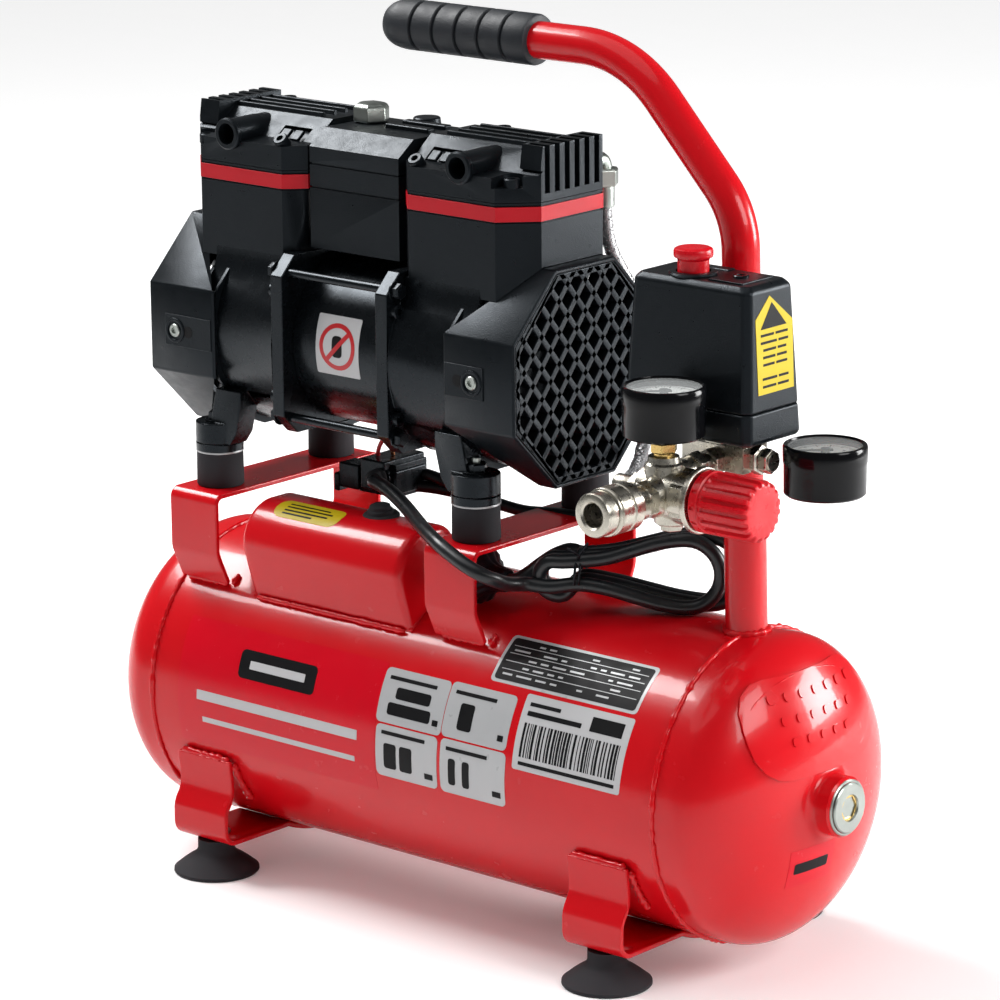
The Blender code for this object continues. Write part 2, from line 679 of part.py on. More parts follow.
def build_head_cover(side):
    name = side_name(side)
    floor = TOWER_TOP_Z + GAP
    half = TOWER_HALF_Y
    profile = [(-half, floor), (half, floor), (half, COVER_TOP_Z - 7), (half - 19, COVER_TOP_Z),
               (-12, COVER_TOP_Z), (-27, COVER_LEDGE_Z + 1), (-half, COVER_LEDGE_Z)]
    start, end = sorted((offset_x(side, 30), offset_x(side, 130)))
    bm = prism(profile, "x", start, end)
    cover = add_object(f"head_cover_{name}", bm, BLACK_PLASTIC)
    raised = [(-26, COVER_TOP_Z - 9), (26, COVER_TOP_Z - 9), (26, FIN_TOP_Z), (-24, FIN_TOP_Z)]
    start, end = sorted((offset_x(side, FIN_START), offset_x(side, 130)))
    combine(cover, prism(raised, "x", start, end), "UNION")
    combine(cover, prism(tower_outline(side), "z", floor - 5, FIN_TOP_Z + 5), "INTERSECT")
    x = offset_x(side, STUB_OFFSET)
    stub = rod((x, -half - 3.5, STUB_Z), (x, -14, STUB_Z), STUB_RADIUS, SEGMENTS)
    combine(cover, stub, "UNION")
    bore = rod((x, -half - 8, STUB_Z), (x, -22, STUB_Z), STUB_BORE, SEGMENTS_BIG)
    combine(cover, bore, "DIFFERENCE")


def build_piston(side):
    """Piston with its rod in one piece; the rod ends clear above the shaft."""
    name = side_name(side)
    x = offset_x(side, PISTON_OFFSET)
    crown = PUMP_Z + PISTON_CROWN
    bm = lathe([(0, 0), (0, PISTON_RADIUS), (-8, PISTON_RADIUS), (-12, 9.0), (-16, 6.0),
                (-48, 6.0), (-48, 0)], (x, 0, crown), AXIS_Z, SEGMENTS)
    add_object(f"piston_{name}", bm, ALUMINIUM, origin=(x, 0, crown), smooth=True)


def build_fan(side):
    """Flat seven-bladed fan, one outline with a bore, as a short prism."""
    blades = 7
    hub = 15.0
    start, end = sorted((offset_x(side, FAN_OFFSET[0]), offset_x(side, FAN_OFFSET[1])))
    outline = []
    for blade in range(blades):
        angle = 360.0 / blades * blade
        for radius, turn in ((hub, -14), (FAN_RADIUS, -4), (FAN_RADIUS, 14), (hub, 8)):
            turned = math.radians(angle + turn)
            outline.append((radius * math.cos(turned), PUMP_Z + radius * math.sin(turned)))
    bm = prism(outline, "x", start, end)
    fan = add_object(f"fan_{side_name(side)}", bm, BLACK_PLASTIC)
    bore = rod((start - 5, 0, PUMP_Z), (end + 5, 0, PUMP_Z), SHAFT_RADIUS + GAP, SEGMENTS)
    combine(fan, bore, "DIFFERENCE")


def build_shroud(side):
    """Octagonal hood with a diamond grille; its rear edge runs back along the sides."""
    name = side_name(side)
    start, end = sorted((offset_x(side, SHROUD_SIDE), offset_x(side, SHROUD_END)))
    shroud = add_object(f"fan_shroud_{name}", prism(octagon(SHROUD_HALF), "x", start, end),
                        BLACK_PLASTIC)
    inside = prism(octagon(SHROUD_HALF - SHROUD_WALL), "x",
                   offset_x(side, SHROUD_SIDE - 5), offset_x(side, SHROUD_END - GRILLE_THICK))
    combine(shroud, inside, "DIFFERENCE")

    half_flat = SHROUD_HALF * math.tan(math.radians(22.5))
    for direction in (1, -1):
        above = PUMP_Z + direction * SHROUD_HALF
        for front in (1, -1):
            wedge = [(offset_x(side, SHROUD_SIDE - 8), front * SHROUD_HALF * 1.2),
                     (offset_x(side, SHROUD_SIDE), front * SHROUD_HALF),
                     (offset_x(side, SHROUD_TOP), front * half_flat),
                     (offset_x(side, SHROUD_TOP), 0),
                     (offset_x(side, SHROUD_SIDE - 8), 0)]
            levels = sorted((PUMP_Z + direction * half_flat, above + direction * 5))
            combine(shroud, prism(wedge, "z", *levels), "DIFFERENCE")

    pitch_y, pitch_z = GRILLE_PITCH
    half_y, half_z = GRILLE_HOLE
    holes = bmesh.new()
    reach = SHROUD_HALF - 5.0
    for row in range(-4, 5):
        for column in range(-4, 5):
            if (row + column) % 2:
                continue
            y, z = column * pitch_y / 2, row * pitch_z / 2
            inside_flats = abs(y) + half_y < reach and abs(z) + half_z < reach
            diagonal = (abs(y) + abs(z) + max(half_y, half_z)) / math.sqrt(2)
            if inside_flats and diagonal < reach:
                centre_z = PUMP_Z + z
                diamond = [(y + half_y, centre_z), (y, centre_z + half_z),
                           (y - half_y, centre_z), (y, centre_z - half_z)]
                ends = sorted((offset_x(side, SHROUD_END - 12), offset_x(side, SHROUD_END + 6)))
                prism(diamond, "x", *ends, bm=holes)
    combine(shroud, holes, "DIFFERENCE")


def build_air_duct():
    half_x, half_y = DUCT_HALF
    low, high = DUCT_Z
    shoulder = 9.0
    profile = [(-half_y, low), (half_y, low), (half_y, high - shoulder),
               (half_y - shoulder * 1.4, high), (-half_y + shoulder * 1.4, high),
               (-half_y, high - shoulder)]
    bm = prism(profile, "x", PUMP_X - half_x, PUMP_X + half_x)
    duct = add_object("air_duct", bm, BLACK_PLASTIC)
    wall = 3.0
    hollow = box((PUMP_X - half_x + wall, -half_y + wall, low - 5),
                 (PUMP_X + half_x - wall, half_y - wall, high - 14))
    combine(duct, hollow, "DIFFERENCE")
    fitting_x, fitting_y = FITTING_AT
    outline = hexagon((fitting_x, fitting_y), FITTING_CORNER)
    add_object("outlet_fitting", prism(outline, "z", high + GAP, high + FITTING_RISE), ZINC)


# ---------------------------------------------------------------- electrics

def build_capacitor():
    """Deep-drawn cover with an open bottom, shaped to the tank, over a round capacitor."""
    below_tank_top = 140.0
    crown_radius = 24.0
    crown_centre_z = 194.0
    corner_radius = 16.0

    def profile(inset):
        top = COVER_CROWN_Z - inset
        front = COVER_FRONT_Y + inset
        back = COVER_BACK_Y - inset
        small = corner_radius - inset
        crown = arc((front + crown_radius - inset, crown_centre_z), crown_radius - inset, 180, 95, 5)
        rear = arc((back - small, top - small), small, 85, 0, 3)
        return [(front + 18.0, below_tank_top)] + crown + rear + [(back, below_tank_top)]

    low_x, high_x = COVER_X
    cover = add_object("capacitor_cover", prism(profile(0.0), "x", low_x, high_x), PAINT_RED,
                       smooth=True)
    inside = prism(profile(COVER_WALL), "x", low_x + COVER_WALL, high_x - COVER_WALL)
    combine(cover, inside, "DIFFERENCE")
    tank = rod((low_x - 5, 0, TANK_Z), (high_x + 5, 0, TANK_Z), TANK_RADIUS + GAP, SEGMENTS_BIG)
    combine(cover, tank, "DIFFERENCE")

    can = rod((low_x + 12, CAPACITOR_Y, CAPACITOR_Z), (high_x - 14, CAPACITOR_Y, CAPACITOR_Z),
              CAPACITOR_RADIUS, SEGMENTS)
    add_object("run_capacitor", can, ALUMINIUM, smooth=True)


def build_terminal_block():
    block = add_object("terminal_block", box(TERMINAL_LOW, TERMINAL_HIGH), BLACK_PLASTIC)
    x, _, z = CORD_POINTS[0]
    gland = rod((x, TERMINAL_LOW[1] + 2, z), (x, GLAND_END_Y, z), GLAND_RADIUS, SEGMENTS_SMALL)
    combine(block, gland, "UNION")


# ---------------------------------------------------------------- air fittings

def build_manifold():
    """Distribution block under the switch, with a neck up, an arm forward and a stub back."""
    low = (BLOCK_X[0], BLOCK_Y[0], BLOCK_Z[0])
    high = (BLOCK_X[1], BLOCK_Y[1], BLOCK_Z[1])
    block = add_object("manifold", box(low, high), NICKEL)
    neck_y = (BLOCK_Y[0] + BLOCK_Y[1]) / 2
    neck = rod((REG_X, neck_y, BLOCK_Z[1] - 2), (REG_X, neck_y, SWITCH_Z[0] - GAP), NECK_RADIUS,
               SEGMENTS)
    combine(block, neck, "UNION")
    arm_end = REG_Y + REG_RADIUS - 3.5
    arm = rod((REG_X, BLOCK_Y[0] + 2, ARM_Z), (REG_X, arm_end, ARM_Z), ARM_RADIUS)
    combine(block, arm, "UNION")
    stub_z = (BLOCK_Z[0] + BLOCK_Z[1]) / 2
    x = post_x(stub_z)
    stub = rod((x, BLOCK_Y[1] - 2, stub_z), (x, -HANDLE_RADIUS - 0.6, stub_z), 5.5)
    combine(block, stub, "UNION")


def build_regulator():
    x0, x1 = REG_BODY_X
    middle = (REG_X, REG_Y, REG_Z)
    body = rod((x0, REG_Y, REG_Z), (x1, REG_Y, REG_Z), REG_RADIUS, SEGMENTS)
    regulator = add_object("regulator_body", body, NICKEL, smooth=True)
    outlet = rod(middle, (REG_X, COUPLER_Y[0] + GAP - 1.5, REG_Z), 8.5, SEGMENTS)
    combine(regulator, outlet, "UNION")
    boss_x, boss_y, gauge_z = GAUGES["outlet"]
    boss = rod((boss_x, boss_y, REG_Z + 5), (boss_x, boss_y, gauge_z - 7), 7.5, SEGMENTS)
    combine(regulator, boss, "UNION")
    inlet = rod((REG_X, REG_Y + 30, ARM_Z), (REG_X, REG_Y, ARM_Z), ARM_RADIUS + GAP)
    combine(regulator, inlet, "DIFFERENCE")
    bonnet_end = x1 + 3.4
    bonnet = rod((x1 - 2, REG_Y, REG_Z), (bonnet_end, REG_Y, REG_Z), BONNET_RADIUS, SEGMENTS)
    combine(regulator, bonnet, "UNION")

    start, end = REG_KNOB_X
    ridge_depth = 1.2
    outline = []
    for index in range(REG_KNOB_RIDGES * 2):
        radius = REG_KNOB_RADIUS if index % 2 else REG_KNOB_RADIUS - ridge_depth
        angle = math.pi * index / REG_KNOB_RIDGES
        outline.append((REG_Y + radius * math.cos(angle), REG_Z + radius * math.sin(angle)))
    knob = add_object("regulator_knob", prism(outline, "x", start, end), RED_PLASTIC,
                      origin=(start, REG_Y, REG_Z))
    socket = rod((start - 5, REG_Y, REG_Z), (start + 22, REG_Y, REG_Z), BONNET_RADIUS + 0.8,
                 SEGMENTS)
    combine(knob, socket, "DIFFERENCE")
    stem = rod((bonnet_end + GAP, REG_Y, REG_Z), (start + 21, REG_Y, REG_Z), 4.0)
    add_object("regulator_spindle", stem, STEEL, origin=(start, REG_Y, REG_Z), smooth=True)


def build_coupler():
    """Quick coupler: hexagon, waist and mouth in one, and the sleeve that slides on the waist."""
    back, mouth = COUPLER_Y
    reach = abs(mouth - back)
    outline = hexagon((REG_X, REG_Z), 10.5)
    body = add_object("coupler_body", prism(outline, "y", back - 1.5, back - 10), NICKEL)
    waist = COUPLER_RADIUS - 3.0
    lip = COUPLER_RADIUS - 1.2
    shell = lathe([(0, 0), (0, waist), (reach - 10, waist), (reach - 10, lip), (reach - 2, lip),
                   (reach - 2, 0)], (REG_X, back - 2, REG_Z), -AXIS_Y, SEGMENTS)
    combine(body, shell, "UNION")
    bore = rod((REG_X, mouth - 5, REG_Z), (REG_X, mouth + 30, REG_Z), COUPLER_BORE, SEGMENTS_BIG)
    combine(body, bore, "DIFFERENCE")

    start, end = SLEEVE_Y
    ring = tube((REG_X, start, REG_Z), (REG_X, end, REG_Z), COUPLER_RADIUS, waist + GAP)
    add_object("coupler_sleeve", ring, NICKEL, origin=(REG_X, start, REG_Z), smooth=True)


def build_gauge(which):
    """Gauge lying on its back: a cup with the dial floor sunk below the rim, and a needle."""
    x, y, z = GAUGES[which]
    rim = GAUGE_RADIUS - 1.6
    dial = GAUGE_HEIGHT - 5.0
    cup = lathe([(0, 0), (0, GAUGE_RADIUS - 1), (1, GAUGE_RADIUS), (GAUGE_HEIGHT, GAUGE_RADIUS),
                 (GAUGE_HEIGHT, rim), (dial, rim), (dial, 0)], (x, y, z), AXIS_Z, SEGMENTS)
    case = add_object(f"gauge_case_{which}", cup, BLACK_PLASTIC, smooth=True)
    if which == "outlet":
        combine(case, rod((x, y, z - 6.6), (x, y, z + 1), 5.0), "UNION")
    else:
        level = (BLOCK_Z[0] + BLOCK_Z[1]) / 2
        middle = (BLOCK_Y[0] + BLOCK_Y[1]) / 2
        combine(case, rod((BLOCK_X[1] + GAP, middle, level), (x - 12, middle, level), 5.0), "UNION")
    top = z + dial + GAP
    zero = Matrix.Rotation(math.radians(NEEDLE_ZERO), 2)
    blade = [zero @ Vector(point) for point in ((-4, -1.2), (15, -0.35), (15, 0.35), (-4, 1.2))]
    bm = prism([(x + point.x, y + point.y) for point in blade], "z", top + 1.0, top + 1.8)
    hub = add_object(f"gauge_needle_{which}", bm, NEEDLE_BLACK, origin=(x, y, top))
    combine(hub, rod((x, y, top), (x, y, top + 2.4), 2.4), "UNION")


def rounded_plan(x_range, y_range, chamfer):
    centre = ((x_range[0] + x_range[1]) / 2, (y_range[0] + y_range[1]) / 2)
    half_x = (x_range[1] - x_range[0]) / 2
    half_y = (y_range[1] - y_range[0]) / 2
    return chamfered(half_x, half_y, chamfer, centre)


def loft(sections):
    """Solid through plan outlines with the same number of points, each at its own height."""
    bm = bmesh.new()
    rings = [[bm.verts.new((x, y, z)) for x, y in outline] for outline, z in sections]
    bm.faces.new(rings[0])
    bm.faces.new(rings[-1])
    for lower, upper in zip(rings, rings[1:]):
        for index in range(len(lower)):
            after = (index + 1) % len(lower)
            bm.faces.new((lower[index], lower[after], upper[after], upper[index]))
    return bm


def switch_plan(z, inset=0.0):
    """Plan of the switch housing at a height; it narrows evenly towards its top."""
    bottom, _, top = SWITCH_Z
    draft = SWITCH_DRAFT * (z - bottom) / (top - bottom) + inset
    x_range = (SWITCH_X[0] + draft, SWITCH_X[1] - draft)
    y_range = (SWITCH_Y[0] + draft, SWITCH_Y[1] - draft)
    return rounded_plan(x_range, y_range, 3.5)


def build_switch():
    bottom, parting, top = SWITCH_Z
    base = loft([(switch_plan(bottom, 1.5), bottom), (switch_plan(bottom + 2), bottom + 2),
                 (switch_plan(parting - GAP), parting - GAP)])
    add_object("switch_base", base, BLACK_PLASTIC)
    cover = loft([(switch_plan(parting), parting), (switch_plan(top - 3), top - 3),
                  (switch_plan(top, 2.5), top)])
    cover_obj = add_object("switch_cover", cover, BLACK_PLASTIC)
    wall = 2.5
    hollow = loft([(switch_plan(parting - 5, wall), parting - 5),
                   (switch_plan(top - 3, wall), top - 3)])
    combine(cover_obj, hollow, "DIFFERENCE")
    hole = rod((KNOB_X, KNOB_Y, top - 8), (KNOB_X, KNOB_Y, top + 5), 9.2, SEGMENTS)
    combine(cover_obj, hole, "DIFFERENCE")

    stem = 8.4
    cap = KNOB_CAP_RADIUS
    knob = lathe([(-12, 0), (-12, stem), (KNOB_RISE - 5.5, stem), (KNOB_RISE - 4.5, cap),
                  (KNOB_RISE - 1.2, cap), (KNOB_RISE, cap - 1.3), (KNOB_RISE, 0)],
                 (KNOB_X, KNOB_Y, top), AXIS_Z, SEGMENTS)
    add_object("switch_knob", knob, RED_PLASTIC, origin=(KNOB_X, KNOB_Y, top), smooth=True)


# ---------------------------------------------------------------- hose and cord

def build_hose_and_cord():
    swept_tube("braided_hose", smooth_route(HOSE_POINTS, 14), HOSE_RADIUS, STEEL)
    swept_tube("power_cord", smooth_route(CORD_POINTS, 10), CORD_RADIUS, RUBBER)

    along = (Vector(HANK_END) - Vector(HANK_START)).normalized()
    across = Vector((-along.y, along.x))
    radius = (HANK_Z[1] - HANK_Z[0]) / 2
    length = (Vector(HANK_END) - Vector(HANK_START)).length
    middle = (HANK_Z[0] + HANK_Z[1]) / 2
    outline = arc((length - radius, middle), radius, -90, 90, 6)
    outline += arc((radius, middle), radius, 90, 270, 6)
    bm = bmesh.new()
    rings = []
    for offset in (-HANK_THICK / 2, HANK_THICK / 2):
        ring = []
        for distance, z in outline:
            place = Vector(HANK_START) + along * distance + across * offset
            ring.append(bm.verts.new((place.x, place.y, z)))
        rings.append(ring)
        bm.faces.new(ring)
    for index in range(len(outline)):
        after = (index + 1) % len(outline)
        bm.faces.new((rings[0][index], rings[0][after], rings[1][after], rings[1][index]))
    add_object("cord_hank", bm, RUBBER)

    plug = rod(PLUG_START, Vector(PLUG_START) + AXIS_X * PLUG_LENGTH, PLUG_RADIUS, SEGMENTS)
    add_object("mains_plug", plug, BLACK_PLASTIC, smooth=True)


def build():
    clear_scene()
    frame = bpy.data.objects.new("compressor", None)
    frame.location = Vector(FRAME_SHIFT) * MM
    bpy.context.scene.collection.objects.link(frame)
    build_tank()
    build_foot_brackets()
    build_rubber_feet()
    build_pump_brackets()
    build_rubber_mounts()
    build_handle()
    build_motor()
    for side in (-1, 1):
        build_crankcase(side)
        build_tower(side)
        build_head_cover(side)
        build_piston(side)
        build_fan(side)
        build_shroud(side)
    build_air_duct()
    build_capacitor()
    build_terminal_block()
    build_manifold()
    build_regulator()
    build_coupler()
    for which in GAUGES:
        build_gauge(which)
    build_switch()
    build_hose_and_cord()


build()
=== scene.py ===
"""Looks of a small horizontal twin-head oil-free air compressor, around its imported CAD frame.

Places are in millimetres in the tank's own frame, as in the CAD: X runs along the tank's axis
towards the pressure switch, -Y is the front, Z = 0 is the floor. piece() turns them into metres
in the row frame. The pump is described by its distance from the middle of the motor: side is +1
at the pressure switch's end and -1 at the other.
"""
import random
from math import asin, cos, degrees, hypot, pi, radians, sin, sqrt, tan

import bmesh
import bpy
from mathutils import Matrix, Vector


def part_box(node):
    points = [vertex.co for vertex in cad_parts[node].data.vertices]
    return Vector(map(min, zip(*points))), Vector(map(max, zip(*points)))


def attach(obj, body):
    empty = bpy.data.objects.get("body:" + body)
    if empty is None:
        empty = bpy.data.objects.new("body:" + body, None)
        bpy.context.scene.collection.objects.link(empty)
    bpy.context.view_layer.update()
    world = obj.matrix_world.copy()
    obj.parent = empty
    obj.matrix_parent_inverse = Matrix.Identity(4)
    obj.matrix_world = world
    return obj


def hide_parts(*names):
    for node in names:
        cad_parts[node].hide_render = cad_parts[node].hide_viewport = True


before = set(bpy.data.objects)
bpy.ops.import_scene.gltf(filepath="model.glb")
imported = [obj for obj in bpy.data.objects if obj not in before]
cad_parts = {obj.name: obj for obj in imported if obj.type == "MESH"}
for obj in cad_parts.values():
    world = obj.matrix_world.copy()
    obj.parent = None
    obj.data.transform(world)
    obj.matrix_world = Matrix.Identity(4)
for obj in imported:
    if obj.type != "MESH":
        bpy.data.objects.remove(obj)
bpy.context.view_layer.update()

MM = 0.001
WELD_STEP = 1.6                 # distance between the lumps of a weld bead, in millimetres
TANK_LOW, TANK_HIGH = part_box("tank_shell")
ORIGIN = Vector(((TANK_LOW.x + TANK_HIGH.x) / 2, (TANK_LOW.y + TANK_HIGH.y) / 2, 0))
AXIS_X = Vector((1, 0, 0))
AXIS_Y = Vector((0, 1, 0))
AXIS_Z = Vector((0, 0, 1))


def add_object(name, data):
    obj = bpy.data.objects.new(name, data)
    bpy.context.scene.collection.objects.link(obj)
    return obj


def add_mesh(name, bm):
    mesh = bpy.data.meshes.new(name)
    bm.to_mesh(mesh)
    bm.free()
    return add_object(name, mesh)


def add_node(tree, kind, values=(), operation=None):
    """New shader node with some of its inputs set by name."""
    node = tree.nodes.new("ShaderNode" + kind)
    for name, value in dict(values).items():
        node.inputs[name].default_value = value
    if operation:
        node.operation = operation
    return node


def heading(azimuth, elevation):
    """Unit vector out from the object, its angles in degrees from the front and up."""
    azimuth, elevation = radians(azimuth), radians(elevation)
    return Vector((sin(azimuth) * cos(elevation), -cos(azimuth) * cos(elevation), sin(elevation)))


def circle(count):
    """Evenly spaced angles once round, in radians."""
    return [2 * pi * step / count for step in range(count)]


def place_of(node):
    """A node's lowest and highest corners, in millimetres in the tank's frame."""
    low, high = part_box(node)
    return (low - ORIGIN) / MM, (high - ORIGIN) / MM


# Tank and feet
TANK_RADIUS = (TANK_HIGH.z - TANK_LOW.z) / 2 / MM
TANK_Z = (TANK_HIGH.z + TANK_LOW.z) / 2 / MM
SEAM_X = (TANK_HIGH.x - TANK_LOW.x) / 2 / MM
HEAD_SKIRT = 10.0
HEAD_DEPTH = 42.5
BOSS_RADIUS = 16.5
BOSS_FACE_X = 246.5
FOOT_X = 145.0
FOOT_Y = 75.1
FOOT_LIP_RADIUS = 24.4
FOOT_PLATE_Z = (19.9, 22.9)
FOOT_FRONT_Y = 88.4

# Pump
PUMP_X = -66.8
PUMP_Z = 309.1
BRACKET_TOP_Z = 219.5
BRACKET_OFFSET = 96.5
MOUNT_Y = 46.0
LUG_Z = (245.1, 256.8)
FLANGE_INNER = 34.8
FLANGE_THICK = 8.6
MOTOR_RADIUS = 49.5
CASE_RADIUS = 57.2
CASE_END = 99.0
SHROUD_HALF = 60.0
SHROUD_SIDE = 86.0
SHROUD_TOP = 124.0
SHROUD_END = 135.8
SHROUD_WALL = 2.6
SHROUD_SCREW = {1: (106.7, 309.9), -1: (115.2, 308.4)}     # offset and height
TOWER_OFFSET = (36.5, 126.5)
TOWER_HALF_Y = 43.0
TOWER_CHAMFER = (10.4, 17.5)
STRIPE_Z = (394.5, 402.5)
COVER_TOP_Z = 430.5
FIN_TOP_Z = 434.5
STUB_OFFSET = 85.5
STUB_Z = 421.5
STUB_RADIUS = 8.2
STUB_BORE = 6.0

# Handle, switch and air fittings
HANDLE_Z = 486.4
HANDLE_RADIUS = 10.1
GRIP_RADIUS = 13.9
SWITCH_TOP_Z = 384.0
KNOB_AT = (176.0, -42.0)
MANIFOLD_Z = 290.7
REG_X = 192.0
REG_Y = -83.0
REG_Z = 278.5
GAUGE_RADIUS = 22.0
GAUGE_HEIGHT = 26.5
OUTLET_GAUGE_XY = (190.0, -83.2)
GAUGES = {"outlet": (*OUTLET_GAUGE_XY, 308.5), "tank": (242.0, -16.0, 273.0)}

# Hose and cord, with the same routes as the CAD
HOSE_RADIUS = 4.0
HOSE_POINTS = [(40.5, 49.5, 407), (41, 49.8, 388), (43, 51.5, 368), (48, 57.5, 351), (53, 64, 336),
               (58, 67, 315), (62, 67, 292), (66, 57, 268), (70, 47, 259), (80, 33, 257),
               (98, 8, 260), (124, -26, 267), (148, -58, 275), (164, -77, 278.5),
               (171, -83, 278.5), (179.2, -83, 278.5)]
CORD_RADIUS = 4.0
CORD_POINTS = [(-63, -21.8, 234), (-62.8, -26, 234.2), (-59.5, -30.3, 234.3), (-51, -33, 233.6),
               (-40, -36, 231.2), (-26.5, -41.5, 227.8), (-9.9, -51, 225), (11.8, -66, 224),
               (28.6, -75, 222), (41, -78, 218.4), (52.6, -79, 214.5), (60.5, -76, 210.6),
               (63.3, -69, 206.8), (62.6, -60, 203), (62.6, -51.5, 200.8), (65.9, -44.8, 200)]
HANK_START = (62.0, -37.6)
HANK_END = (164.0, 23.4)
HANK_Z = (186.4, 232.0)
HANK_TURNS = 3
HANK_TIE = 27.0                 # distance of the tie from the hank's left end
TIE_LOW, TIE_HIGH = -8.0, 5.0   # heights of the strands at the tie
PLUG_AT = (46.0, -38.0, 197.0)


# ---------------------------------------------------------------- camera, light and floor

AMBIENT = 0.12                  # light of the surroundings, which the camera sees nearly white


def make_camera():
    target = ORIGIN + Vector((6.8, 0, 228.2)) * MM
    out = heading(41.04, 14.43)
    roll = radians(-0.455)
    distance = 2.51725
    data = bpy.data.cameras.new("camera")
    data.lens = 164.35
    data.sensor_width = 36.0
    camera = add_object("camera", data)
    turn = (-out).to_track_quat("-Z", "Y").to_matrix() @ Matrix.Rotation(roll, 3, "Z")
    camera.matrix_world = Matrix.Translation(target + out * distance) @ turn.to_4x4()
    bpy.context.scene.camera = camera


def soft_light(name, azimuth, elevation, distance, size, power):
    """Area light of size (wide, high) on a sphere round the object, facing its middle."""
    target = ORIGIN + Vector((0, 0, 0.24))
    out = heading(azimuth, elevation)
    data = bpy.data.lights.new(name, "AREA")
    data.shape = "RECTANGLE"
    data.size, data.size_y = size
    data.energy = power
    light = add_object(name, data)
    turn = (-out).to_track_quat("-Z", "Y").to_matrix().to_4x4()
    light.matrix_world = Matrix.Translation(target + out * distance) @ turn


def floor_paper():
    """White paper with a painted glow that only the camera sees, brighter away from the object as
    a lit studio sweep is.
    """
    paper = surface("floor_paper", (0.94, 0.94, 0.94), 0.75, vary=0.01)
    tree, links = paper.node_tree, paper.node_tree.links
    shader = tree.nodes["Principled BSDF"]
    shader.inputs["Emission Color"].default_value = (1.0, 1.0, 1.0, 1.0)
    place = add_node(tree, "TexCoord")
    distance = add_node(tree, "VectorMath", operation="LENGTH")
    # painted glow: emission seen by camera rays only, rising with distance from the object
    glow = add_node(tree, "MapRange", {"From Min": 0.25, "From Max": 1.2, "To Min": 0.12,
                                       "To Max": 0.50})
    path = add_node(tree, "LightPath")
    seen = add_node(tree, "Math", operation="MULTIPLY")
    links.new(place.outputs["Object"], distance.inputs[0])
    links.new(distance.outputs["Value"], glow.inputs["Value"])
    links.new(glow.outputs["Result"], seen.inputs[0])
    links.new(path.outputs["Is Camera Ray"], seen.inputs[1])
    links.new(seen.outputs["Value"], shader.inputs["Emission Strength"])
    return paper


def make_studio():
    world = bpy.data.worlds.new("studio")
    world.use_nodes = True
    tree = world.node_tree
    background = tree.nodes["Background"]
    background.inputs["Color"].default_value = (1.0, 1.0, 1.0, 1.0)
    path = add_node(tree, "LightPath")
    strength = add_node(tree, "MapRange", {"To Min": AMBIENT, "To Max": 0.9})
    tree.links.new(path.outputs["Is Camera Ray"], strength.inputs["Value"])
    tree.links.new(strength.outputs["Result"], background.inputs["Strength"])
    bpy.context.scene.world = world
    bpy.context.scene.view_settings.view_transform = "Standard"
    soft_light("key", -84, 47, 2.0, (1.1, 0.6), 42)
    soft_light("right", 92, 30, 2.2, (0.9, 0.9), 20)
    soft_light("sheen", 138, 12, 2.2, (0.8, 0.8), 42)
    data = bpy.data.lights.new("sky", "SUN")
    data.energy = 0.8
    data.angle = radians(60)
    sky = add_object("sky", data)
    sky.rotation_euler = (radians(14), radians(-10), 0)
    floor = bmesh.new()
    bmesh.ops.create_grid(floor, x_segments=1, y_segments=1, size=6.0)
    obj = add_mesh("floor", floor)
    obj.data.materials.append(floor_paper())


# ---------------------------------------------------------------- materials

def surface(name, colour, roughness, metallic=0.0, coat=0.0, vary=0.08, scale=25.0, spread=0.06,
            grain=0.0, grain_scale=900.0, stretch=(1, 1, 1), alpha=1.0, specular=0.5,
            glint=(1.0, 1.0, 1.0)):
    """Procedural finish: cloudy colour, uneven gloss and a fine relief, all in object space."""
    material = bpy.data.materials.get(name)
    if material:
        return material
    material = bpy.data.materials.new(name)
    material.use_nodes = True
    tree, links = material.node_tree, material.node_tree.links
    shader = tree.nodes["Principled BSDF"]
    for socket, value in (("Metallic", metallic), ("Coat Weight", coat), ("Coat Roughness", 0.05),
                          ("Alpha", alpha), ("Specular IOR Level", specular),
                          ("Specular Tint", (*glint, 1.0))):
        shader.inputs[socket].default_value = value
    place = add_node(tree, "TexCoord")
    mapping = add_node(tree, "Mapping", {"Scale": stretch})
    links.new(place.outputs["Object"], mapping.inputs["Vector"])

    def noise(noise_scale, detail):
        node = add_node(tree, "TexNoise", {"Scale": noise_scale, "Detail": detail})
        links.new(mapping.outputs["Vector"], node.inputs["Vector"])
        return node.outputs["Fac"]

    def ranged(value, low, high):
        node = add_node(tree, "MapRange", {"From Min": 0.3, "From Max": 0.7, "To Min": low,
                                           "To Max": high})
        links.new(value, node.inputs["Value"])
        return node.outputs["Result"]

    tint = add_node(tree, "HueSaturation", {"Color": (*colour, 1.0)})
    links.new(ranged(noise(scale, 4.0), 1.0 - vary, 1.0 + vary), tint.inputs["Value"])
    links.new(tint.outputs["Color"], shader.inputs["Base Color"])
    low, high = max(0.02, roughness - spread), min(1.0, roughness + spread)
    links.new(ranged(noise(scale * 6.0, 5.0), low, high), shader.inputs["Roughness"])
    if grain:
        bump = add_node(tree, "Bump", {"Strength": grain, "Distance": 0.0003})
        links.new(noise(grain_scale, 2.0), bump.inputs["Height"])
        links.new(bump.outputs["Normal"], shader.inputs["Normal"])
        if coat:
            links.new(bump.outputs["Normal"], shader.inputs["Coat Normal"])
    return material


